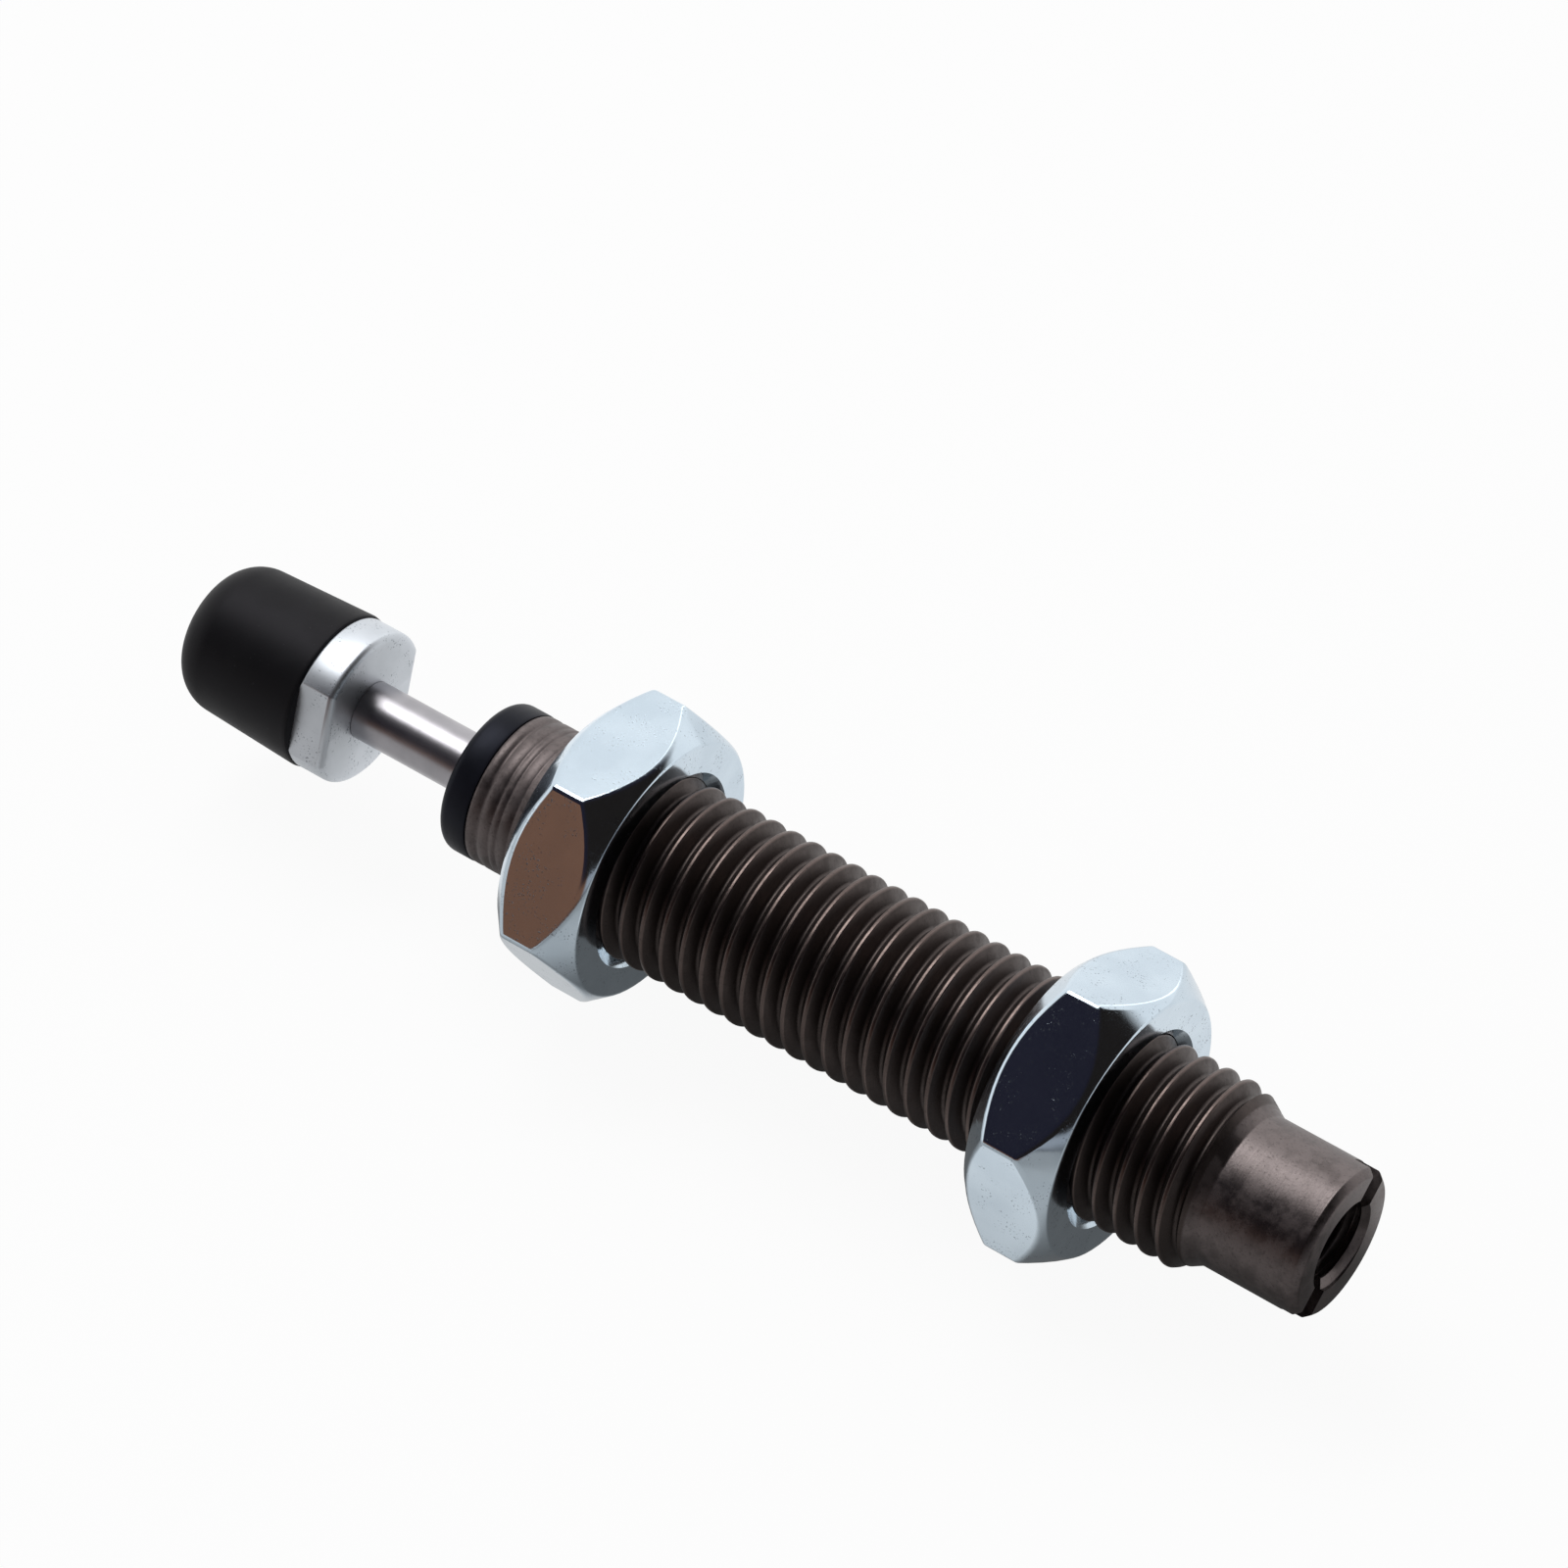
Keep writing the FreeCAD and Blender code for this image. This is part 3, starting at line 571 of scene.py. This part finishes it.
def black_oxide(sheet):
    """Blue-black cap with fine turning marks, lighter at its rounded edge as a painted sheen."""
    radius = sheet.distance_from_rod()
    marks = sheet.noise(0.05, 3.0, 0.6, stretch=(1, 40, 40))
    clouds = sheet.noise(1.0, 3.0)
    # Painted sheen: the rounded edge is lighter
    painted_edge_sheen = sheet.ramp(radius + clouds * 0.3, 3.3, 3.55)
    black = sheet.blend(sheet.ramp(clouds, 0.3, 0.7), (0.0025, 0.003, 0.0045), (0.004, 0.0045, 0.0075))
    black = sheet.blend(painted_edge_sheen * 0.2, black, (0.02, 0.02, 0.027))
    gloss = 0.36 + marks * 0.12
    return {"Base Color": black, "Roughness": gloss, "Normal": sheet.bump(marks, 2.0)}


def machined(colour, shade, roughness, depth):
    """A turned metal with tool marks round the axis."""

    def surface(sheet):
        marks = sheet.noise(0.06, 3.0, 0.6, stretch=(1, 40, 40))
        clouds = sheet.noise(1.0, 3.0)
        tone = sheet.blend(sheet.ramp(clouds, 0.3, 0.7), shade, colour)
        gloss = roughness + marks * 0.14
        return {"Base Color": tone, "Roughness": gloss, "Normal": sheet.bump(marks, depth)}

    return surface


def moulded(colour, shade, roughness, depth, size=0.08):
    """A soft black or grey material with a fine grain."""

    def surface(sheet):
        grain = sheet.noise(size, 4.0, 0.6)
        clouds = sheet.noise(0.8, 3.0)
        tone = sheet.blend(sheet.ramp(clouds, 0.3, 0.7), shade, colour)
        gloss = roughness + grain * 0.12
        return {"Base Color": tone, "Roughness": gloss, "Normal": sheet.bump(grain, depth)}

    return surface


METAL = {"Metallic": 1.0}
RUBBER = {"Specular IOR Level": 0.2, "Specular Tint": (0.93, 0.9, 1.0)}
OXIDE = {"Specular IOR Level": 0.17, "Specular Tint": (0.72, 0.77, 1.0)}


def metal(name, surface):
    """A finish that is metal all over."""
    return finish_of(name, surface, **METAL)


FINISHES = {
    "burnished_steel": metal("burnished_steel", burnished_steel),
    "zinc_plate": metal("zinc_plate", zinc((0.60, 0.70, 0.785), (0.67, 0.775, 0.86), 0)),
    "dull_zinc": metal("dull_zinc", zinc((0.60, 0.635, 0.675), (0.68, 0.715, 0.76), 0.3)),
    "hard_chrome": metal("hard_chrome", hard_chrome),
    "bumper_urethane": finish_of("bumper_urethane", bumper_urethane, **RUBBER),
    "black_oxide": finish_of("black_oxide", black_oxide, **OXIDE),
    "plain_steel": metal("plain_steel", machined((0.56, 0.56, 0.57), (0.46, 0.46, 0.47), 0.25, 2)),
    "tube_steel": metal("tube_steel", machined((0.5, 0.5, 0.52), (0.4, 0.4, 0.42), 0.3, 3)),
    "spring_steel": metal("spring_steel", machined((0.38, 0.36, 0.34), (0.26, 0.25, 0.25), 0.3, 1)),
    "ball_steel": metal("ball_steel", machined((0.74, 0.74, 0.76), (0.68, 0.68, 0.7), 0.08, 0.3)),
    "plug_steel": metal("plug_steel", machined((0.07, 0.066, 0.066), (0.045, 0.043, 0.045), 0.35, 2)),
    "bearing_bronze": metal("bearing_bronze", machined((0.64, 0.44, 0.2), (0.5, 0.33, 0.15), 0.25, 2)),
    "polyurethane_seal": finish_of(
        "polyurethane_seal", moulded((0.05, 0.06, 0.09), (0.035, 0.045, 0.07), 0.35, 1)
    ),
    "nitrile": finish_of("nitrile", moulded((0.03, 0.03, 0.031), (0.018, 0.018, 0.019), 0.4, 1.5)),
    "cell_foam": finish_of(
        "cell_foam", moulded((0.17, 0.17, 0.18), (0.1, 0.1, 0.105), 0.8, 25, 0.2)
    ),
}


def make_body():
    """Threaded body: a turned blank with its thread, slot and filling thread cut."""
    neck_start = BODY_FRONT - NECK_LENGTH
    blank_radius = CREST_RADIUS + 0.05
    stretch = (blank_radius - SPIGOT_RADIUS) / (CREST_RADIUS - SPIGOT_RADIUS)
    port_run = (FILL_HOLE_RADIUS - PORT_RADIUS) / math.tan(DRILL_POINT)
    outline = [
        (0, FILL_HOLE_RADIUS + FILL_MOUTH),
        (FILL_MOUTH, FILL_HOLE_RADIUS),
        (FILL_HOLE_DEPTH, FILL_HOLE_RADIUS),
        (FILL_HOLE_DEPTH + port_run, PORT_RADIUS),
        (BORE_FLOOR, PORT_RADIUS),
        (BORE_FLOOR, BORE_RADIUS),
        (BODY_FRONT, BORE_RADIUS),
        (BODY_FRONT, NECK_RADIUS - 0.08),
        (BODY_FRONT - 0.05, NECK_RADIUS - 0.02),
        (BODY_FRONT - 0.14, NECK_RADIUS),
    ]
    for station, width, depth in NECK_GROOVES:
        outline += [
            (station + width / 2, NECK_RADIUS),
            (station + width / 4, NECK_RADIUS - depth * 0.75),
            (station, NECK_RADIUS - depth),
            (station - width / 4, NECK_RADIUS - depth * 0.75),
            (station - width / 2, NECK_RADIUS),
        ]
    outline += [
        (neck_start, NECK_RADIUS),
        (neck_start - THREAD_CHAMFER * stretch, blank_radius),
        (SPIGOT_LENGTH + THREAD_REAR_CHAMFER * stretch, blank_radius),
        (SPIGOT_LENGTH + 0.03, SPIGOT_RADIUS + 0.03),
        (SPIGOT_LENGTH - 0.06, SPIGOT_RADIUS),
        (0.34, SPIGOT_RADIUS),
        (0.28, SPIGOT_RADIUS - 0.015),
        (0.06, SPIGOT_RADIUS - 0.2),
        (0.015, SPIGOT_RADIUS - 0.25),
        (0, SPIGOT_RADIUS - 0.3),
    ]
    body = turned("threaded_body", outline)
    form = thread_form(CREST_RADIUS - 0.005, ROOT_RADIUS, PITCH, CREST_BEND, ROOT_BEND)
    thread = threaded_rod(
        "body_thread", BODY_REAR - OVERRUN, BODY_FRONT + OVERRUN, form, PITCH, THREAD_PHASE
    )
    cut(body, thread, "INTERSECT")
    tap_form = thread_form(FILL_THREAD_RADIUS, FILL_HOLE_RADIUS - 0.02, FILL_THREAD_PITCH, 0.03, 0.05)
    tap = threaded_rod("filling_tap", -OVERRUN, FILL_THREAD_END, tap_form, FILL_THREAD_PITCH)
    cut(body, tap)
    slot = block("slot_cutter", (-1, -SLOT_WIDTH / 2, -5), (SLOT_DEPTH, SLOT_WIDTH / 2, 5))
    turn_about_rod(slot, SLOT_TURN)
    cut(body, slot)
    fit(body, "body", "burnished_steel", FINISHES["burnished_steel"], "barrel")


def make_fill_plug():
    """Threaded plug with a hexagon socket, deep in the filling hole."""
    radius = FILL_THREAD_RADIUS - PLUG_CLEARANCE
    edge = 0.3
    plug = turned(
        "filling_plug",
        [
            (PLUG_REAR, 0),
            (PLUG_REAR, radius - edge),
            (PLUG_REAR + edge, radius),
            (PLUG_FRONT - edge, radius),
            (PLUG_FRONT, radius - edge),
            (PLUG_FRONT, 0),
        ],
        96,
    )
    form = thread_form(radius - 0.02, FILL_HOLE_RADIUS - 0.06, FILL_THREAD_PITCH, 0.03, 0.04)
    # The thread starts where the hole's does, so the two mesh
    thread = threaded_rod("plug_thread", -OVERRUN, FILL_THREAD_END, form, FILL_THREAD_PITCH)
    cut(plug, thread, "INTERSECT")
    floor = PLUG_REAR + PLUG_SOCKET_DEPTH
    socket = hexagon_bar("plug_socket", PLUG_REAR - 1, floor, PLUG_SOCKET_FLATS, 0)
    cut(plug, socket)
    fit(plug, "body", "plug_steel", FINISHES["plug_steel"], "fill_plug")


def make_cap():
    """Black end cap with a rounded edge and a small countersink round the rod."""
    flange = BODY_FRONT
    hole = ROD_RADIUS + 0.1
    countersink = 0.15
    outline = [
        (CAP_REAR, WIPER_RADIUS),
        (CAP_REAR + WIPER_DEPTH, WIPER_RADIUS),
        (CAP_REAR + WIPER_DEPTH, hole),
        (CAP_FRONT - countersink, hole),
        (CAP_FRONT, hole + countersink),
        *arc(CAP_FRONT - CAP_BEND, CAP_RADIUS - CAP_BEND, CAP_BEND, 0, 90, 8),
        (flange + 0.12, CAP_RADIUS),
        (flange + 0.03, CAP_RADIUS - 0.03),
        (flange, CAP_RADIUS - 0.12),
        (flange, BORE_RADIUS),
        (CAP_REAR, BORE_RADIUS),
    ]
    cap = turned("end_cap", outline)
    fit(cap, "body", "black_oxide", FINISHES["black_oxide"], "front_cap")


def make_nut(name, body):
    """Hexagon lock nut with a real thread that clears the body's."""
    first, last = ends_of(name)
    nut = hexagon_bar(name + "_plated", first - 1, last + 1, NUT_FLATS, NUT_TURNS[name])
    over = 1.0
    # Two chamfer cones that meet beyond the nut's corners, each with a rounded edge at its face
    rear_run = 1 / math.tan(NUT_REAR_ANGLE)
    front_run = 1 / math.tan(NUT_FRONT_ANGLE)
    gap = NUT_FRONT_RADIUS - NUT_REAR_RADIUS
    reach = ((last - first) * front_run + gap) / (rear_run + front_run)
    ridge = (first + reach, NUT_REAR_RADIUS + reach * rear_run)
    cones = [
        (first, 0),
        *fillet((first, 0), (first, NUT_REAR_RADIUS), ridge, NUT_FACE_BEND),
        ridge,
        *fillet(ridge, (last, NUT_FRONT_RADIUS), (last, 0), NUT_FACE_BEND),
        (last, 0),
    ]
    blank = turned("nut_blank", cones, NUT_STEPS)
    # A corner of the hexagon meets the middle of a facet, not its edge
    turn_about_rod(blank, NUT_TURNS[name] + FULL_TURN / NUT_STEPS / 2)
    cut(nut, blank, "INTERSECT")
    ease_edges(nut, NUT_EDGE, 5)
    mouth = CREST_RADIUS + NUT_CLEARANCE + NUT_COUNTERSINK
    depth = mouth - NUT_MINOR_RADIUS
    drill = turned(
        "nut_drill",
        [
            (first - over, 0),
            (first - over, mouth + over),
            (first + depth, NUT_MINOR_RADIUS),
            (last - depth, NUT_MINOR_RADIUS),
            (last + over, mouth + over),
            (last + over, 0),
        ],
    )
    cut(nut, drill)
    rise = NUT_MINOR_RADIUS - ROOT_RADIUS - NUT_CLEARANCE
    root_flat = 2 * FLANK_TANGENT * (ROOT_BEND + rise)
    form = thread_form(CREST_RADIUS + NUT_CLEARANCE, NUT_MINOR_RADIUS, PITCH, 0.02, 0, root_flat)
    cut(nut, threaded_rod("nut_tap", first - over, last + over, form, PITCH, THREAD_PHASE))
    fit(nut, body, "zinc_plate", FINISHES["zinc_plate"], name)


def make_rod():
    """Chromed rod with its tail and tenon."""
    tail_radius = 0.8
    shoulder = 27.2
    edge = 0.15
    rod = turned(
        "chromed_rod",
        [
            (ROD_REAR, 0),
            (ROD_REAR, tail_radius - edge),
            (ROD_REAR + edge, tail_radius),
            (shoulder, tail_radius),
            (shoulder, ROD_RADIUS),
            (HEAD_REAR, ROD_RADIUS),
            (HEAD_REAR, TENON_RADIUS),
            (ROD_FRONT, TENON_RADIUS),
            (ROD_FRONT, 0),
        ],
    )
    fit(rod, "rod", "hard_chrome", FINISHES["hard_chrome"], "piston_rod")


def make_head():
    """Plated head with two wrench flats, on a grooved stub for the bumper."""
    plate_end = HEAD_REAR + HEAD_THICKNESS
    rear = HEAD_REAR + HEAD_REST_GAP
    head = turned(
        "plated_head",
        [
            (rear, TENON_RADIUS),
            (HEAD_REAR + TENON_LENGTH, TENON_RADIUS),
            (HEAD_REAR + TENON_LENGTH, 0),
            (HEAD_FRONT, 0),
            (HEAD_FRONT, STUB_RADIUS),
            (plate_end + BARB_STATION + BARB_WIDTH, STUB_RADIUS),
            (plate_end + BARB_STATION + BARB_WIDTH, STUB_RADIUS - BARB_DEPTH),
            (plate_end + BARB_STATION, STUB_RADIUS - BARB_DEPTH),
            (plate_end + BARB_STATION, STUB_RADIUS),
            (plate_end, STUB_RADIUS),
            *fillet(
                (plate_end, 0), (plate_end, HEAD_RADIUS), (rear, HEAD_RADIUS), HEAD_FRONT_BEND, 3
            ),
            *fillet((plate_end, HEAD_RADIUS), (rear, HEAD_RADIUS), (rear, 0), HEAD_BEND),
            (rear, HEAD_FLAT - HEAD_RING),
            (rear, TENON_RADIUS + HEAD_RING),
        ],
    )
    # The slab that leaves the two flats has the same rounding at the rear as the turned side
    slab = block("flats_slab", (rear - 0.002, -6, -HEAD_FLAT), (HEAD_FRONT + 1, 6, HEAD_FLAT))
    ease_edges(slab, HEAD_BEND, 6)
    turn_about_rod(slab, HEAD_TURN)
    cut(head, slab, "INTERSECT")
    fit(head, "rod", "zinc_plate", FINISHES["dull_zinc"], "rod_head")


def make_bumper():
    """Moulded bumper, pressed on the head's stub."""
    rib = STUB_RADIUS - BARB_DEPTH
    bend = BUMPER_CORNER_BEND
    corner = BUMPER_REAR + BUMPER_CORNER_STATION
    slope = math.tan(BUMPER_DRAFT)
    height = BUMPER_RADIUS - BUMPER_CORNER_STATION * slope - bend / math.cos(BUMPER_DRAFT)
    reach = BUMPER_FRONT - corner
    # The crown's arc and the corner's touch, and the crown's ends on the axis
    crown = (reach**2 + height**2 - bend**2) / (2 * (reach - bend))
    join = math.degrees(math.atan2(height, crown - reach))
    side = 90 - math.degrees(BUMPER_DRAFT)
    outline = [
        (BUMPER_FRONT, 0),
        *arc(BUMPER_FRONT - crown, 0, crown, 0, join, 8)[1:],
        *arc(corner, height, bend, join, side, 16)[1:],
        (BUMPER_REAR + 0.2, BUMPER_RADIUS - 0.2 * slope),
        (BUMPER_REAR + 0.06, BUMPER_RADIUS - 0.04),
        (BUMPER_REAR, BUMPER_RADIUS - 0.15),
        (BUMPER_REAR, STUB_RADIUS),
        (BUMPER_REAR + BARB_STATION, STUB_RADIUS),
        (BUMPER_REAR + BARB_STATION, rib),
        (BUMPER_REAR + BARB_STATION + BARB_WIDTH, rib),
        (BUMPER_REAR + BARB_STATION + BARB_WIDTH, STUB_RADIUS),
        (BUMPER_REAR + STUB_LENGTH, STUB_RADIUS),
        (BUMPER_REAR + STUB_LENGTH, 0),
    ]
    bumper = turned("moulded_bumper", outline)
    fit(bumper, "rod", "bumper_urethane", FINISHES["bumper_urethane"], "bumper_cap")


def make_spring():
    """The return spring, a copy of the frame's coil with its close points merged."""
    node = frame["nodes"]["return_spring"]
    spring = bpy.data.objects.new("coil_spring", node.data.copy())
    bpy.context.scene.collection.objects.link(spring)
    start_edit(spring)
    bpy.ops.mesh.remove_doubles(threshold=WELD)
    end_edit()
    fit(spring, "body", "spring_steel", FINISHES["spring_steel"], "return_spring")
    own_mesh(spring)


def dress_inner_pieces():
    """Give the pieces inside the body the finish that their slot names."""
    slots = {row["node"]: row["material_slot"] for row in frame["record"]["subparts"]}
    for name, node in frame["nodes"].items():
        if not node.hide_render:
            node.data.materials.clear()
            node.data.materials.append(FINISHES[slots[name]])


make_body()
make_fill_plug()
make_cap()
make_nut("front_lock_nut", "front_nut")
make_nut("rear_lock_nut", "rear_nut")
make_rod()
make_head()
make_bumper()
make_spring()
dress_inner_pieces()


# The studio: a white sweep, an open dark front where the camera stands, and one soft lamp above
FLOOR_SIZE = 6.0
PAPER_WHITE = 0.93  # Share of the paper that shows white, and the rest shows its shadow
CAMERA_PLACE = Vector((-98.09, 171.37, 245.59)) * MM
CAMERA_AIM = Vector((0.39325, -0.53973, -0.74434))
SENSOR = 36.0
LENS = 185.94
KEY_DIRECTION = Vector((0.42, -0.17, 0.9))
KEY_DISTANCE = 0.4
KEY_RADIANCE = 5.5
KEY_WIDTH = 0.12
KEY_LENGTH = 0.3


def add_floor():
    """Pale paper, white to the camera. Metal sees it shaded under the body and darker in front."""
    bpy.ops.object.select_all(action="DESELECT")
    bpy.ops.mesh.primitive_plane_add(size=FLOOR_SIZE, location=(0, 0, cad_low.z))
    floor = bpy.context.object
    floor.name = "studio_floor"
    material = bpy.data.materials.new("studio_paper")
    material.use_nodes = True
    sheet = Sheet(material.node_tree)
    along, across, _ = sheet.split(sheet.place())
    camera = sheet.node("ShaderNodeLightPath", None, None, "Is Camera Ray")
    glossy = sheet.node("ShaderNodeLightPath", None, None, "Is Glossy Ray")
    through = sheet.node("ShaderNodeLightPath", None, None, "Is Transmission Ray")
    behind = sheet.ramp(across, -0.009, -0.004, 0.9, 0.12)
    front = sheet.ramp(across, 0.004, 0.014, 0.0, 0.36) * sheet.ramp(across, 0.016, 0.06, 1.0, 0.6)

    def pool(station, side, reach, strength):
        """Light that a bright nut throws on the paper."""
        gap = ((along - station * MM) ** 2 + (across - side * MM) ** 2) ** 0.5 / (reach * MM)
        return sheet.ramp(gap, 0.4, 1.0, strength, 0.0)

    pools = pool(15.5, 9.5, 6.5, 0.42) + pool(37.0, 3.0, 5.5, 0.5)
    under = behind + front + pools
    beside = sheet.ramp(across, -0.001, 0.005, 1.05, 0.62)
    past_body = sheet.ramp(along, 0.041, 0.045)
    open_floor = sheet.node("ShaderNodeMix", None, {0: past_body, 2: under, 3: beside})
    strength = sheet.node("ShaderNodeMix", None, {0: glossy, 2: 1.0, 3: open_floor})
    lit = sheet.node("ShaderNodeBsdfDiffuse", None, {"Color": (0.92, 0.92, 0.92, 1)})
    white = sheet.node("ShaderNodeEmission", None, {"Color": (1, 1, 1, 1), "Strength": strength})
    seen = (camera + glossy + through) * PAPER_WHITE
    mixed = sheet.node("ShaderNodeMixShader", None, {0: seen, 1: lit, 2: white})
    sheet.node("ShaderNodeOutputMaterial", None, {"Surface": mixed})
    floor.data.materials.append(material)


def add_lamp(name, direction, distance, width, length, radiance):
    """A soft white box that faces the middle of the object."""
    light = bpy.data.lights.new(name, "AREA")
    light.shape = "RECTANGLE"
    light.size = length
    light.size_y = width
    light.energy = radiance * math.pi * length * width
    lamp = bpy.data.objects.new(name, light)
    bpy.context.scene.collection.objects.link(lamp)
    middle = (cad_low + cad_high) / 2
    lamp.location = middle + direction.normalized() * distance
    lamp.rotation_euler = (-direction).to_track_quat("-Z", "Y").to_euler()


def light_world():
    """White all round for the camera. What shines back from metal is a white tent, open in front."""
    world = bpy.data.worlds.new("studio")
    bpy.context.scene.world = world
    world.use_nodes = True
    sheet = Sheet(world.node_tree)
    direction = sheet.node("ShaderNodeTexCoord", output="Generated")
    along, across, up = sheet.split(direction)

    def facing(aim):
        return along * aim.x + across * aim.y + up * aim.z

    opening = sheet.ramp(facing(-CAMERA_AIM), 0.08, 0.32)
    opening = opening * (1 - sheet.ramp(facing(KEY_DIRECTION.normalized()), 0.92, 0.96))
    table = sheet.blend(sheet.ramp(along, -0.7, -0.4), (0.36, 0.37, 0.4), (0.21, 0.1, 0.062))
    horizon = (1 - sheet.ramp(up, 0.19, 0.25)) * sheet.ramp(up, 0.03, 0.1, 0.4, 1.0)
    dim = sheet.blend(sheet.ramp(along, -0.5, 0.0), (0.013, 0.01, 0.009), (0.014, 0.0125, 0.023))
    room = sheet.blend(horizon, dim, table)
    # A brighter strip along the tent, which draws the light lines on the nuts' rounded edges
    strip = sheet.ramp(along, 0.1, 0.2) * (1 - sheet.ramp(along, 0.27, 0.31))
    bright = strip * (1 - sheet.ramp(across, -0.3, -0.1)) * 0.8 + 1.0
    shell = sheet.node("ShaderNodeCombineColor", None, {0: bright, 1: bright, 2: bright})
    tent = sheet.blend(opening, shell, room)
    glossy = sheet.node("ShaderNodeLightPath", None, None, "Is Glossy Ray")
    camera = sheet.node("ShaderNodeLightPath", None, None, "Is Camera Ray")
    through = sheet.node("ShaderNodeLightPath", None, None, "Is Transmission Ray")
    plain = sheet.blend(glossy, (0.45, 0.45, 0.45), tent)
    seen = sheet.blend(camera + through, plain, (1.0, 1.0, 1.0))
    glow = sheet.node("ShaderNodeBackground", None, {"Color": seen, "Strength": 1.0})
    sheet.node("ShaderNodeOutputWorld", None, {"Surface": glow})


def add_camera():
    """The camera, placed where the photo was taken from."""
    data = bpy.data.cameras.new("studio_camera")
    data.sensor_width = SENSOR
    data.lens = LENS
    data.clip_start = 0.01
    data.clip_end = 10
    camera = bpy.data.objects.new("studio_camera", data)
    bpy.context.scene.collection.objects.link(camera)
    camera.location = CAMERA_PLACE
    camera.rotation_euler = CAMERA_AIM.to_track_quat("-Z", "Y").to_euler()
    bpy.context.scene.camera = camera


add_floor()
light_world()
add_lamp("key_softbox", KEY_DIRECTION, KEY_DISTANCE, KEY_WIDTH, KEY_LENGTH, KEY_RADIANCE)
add_camera()
bpy.context.scene.view_settings.view_transform = "Standard"
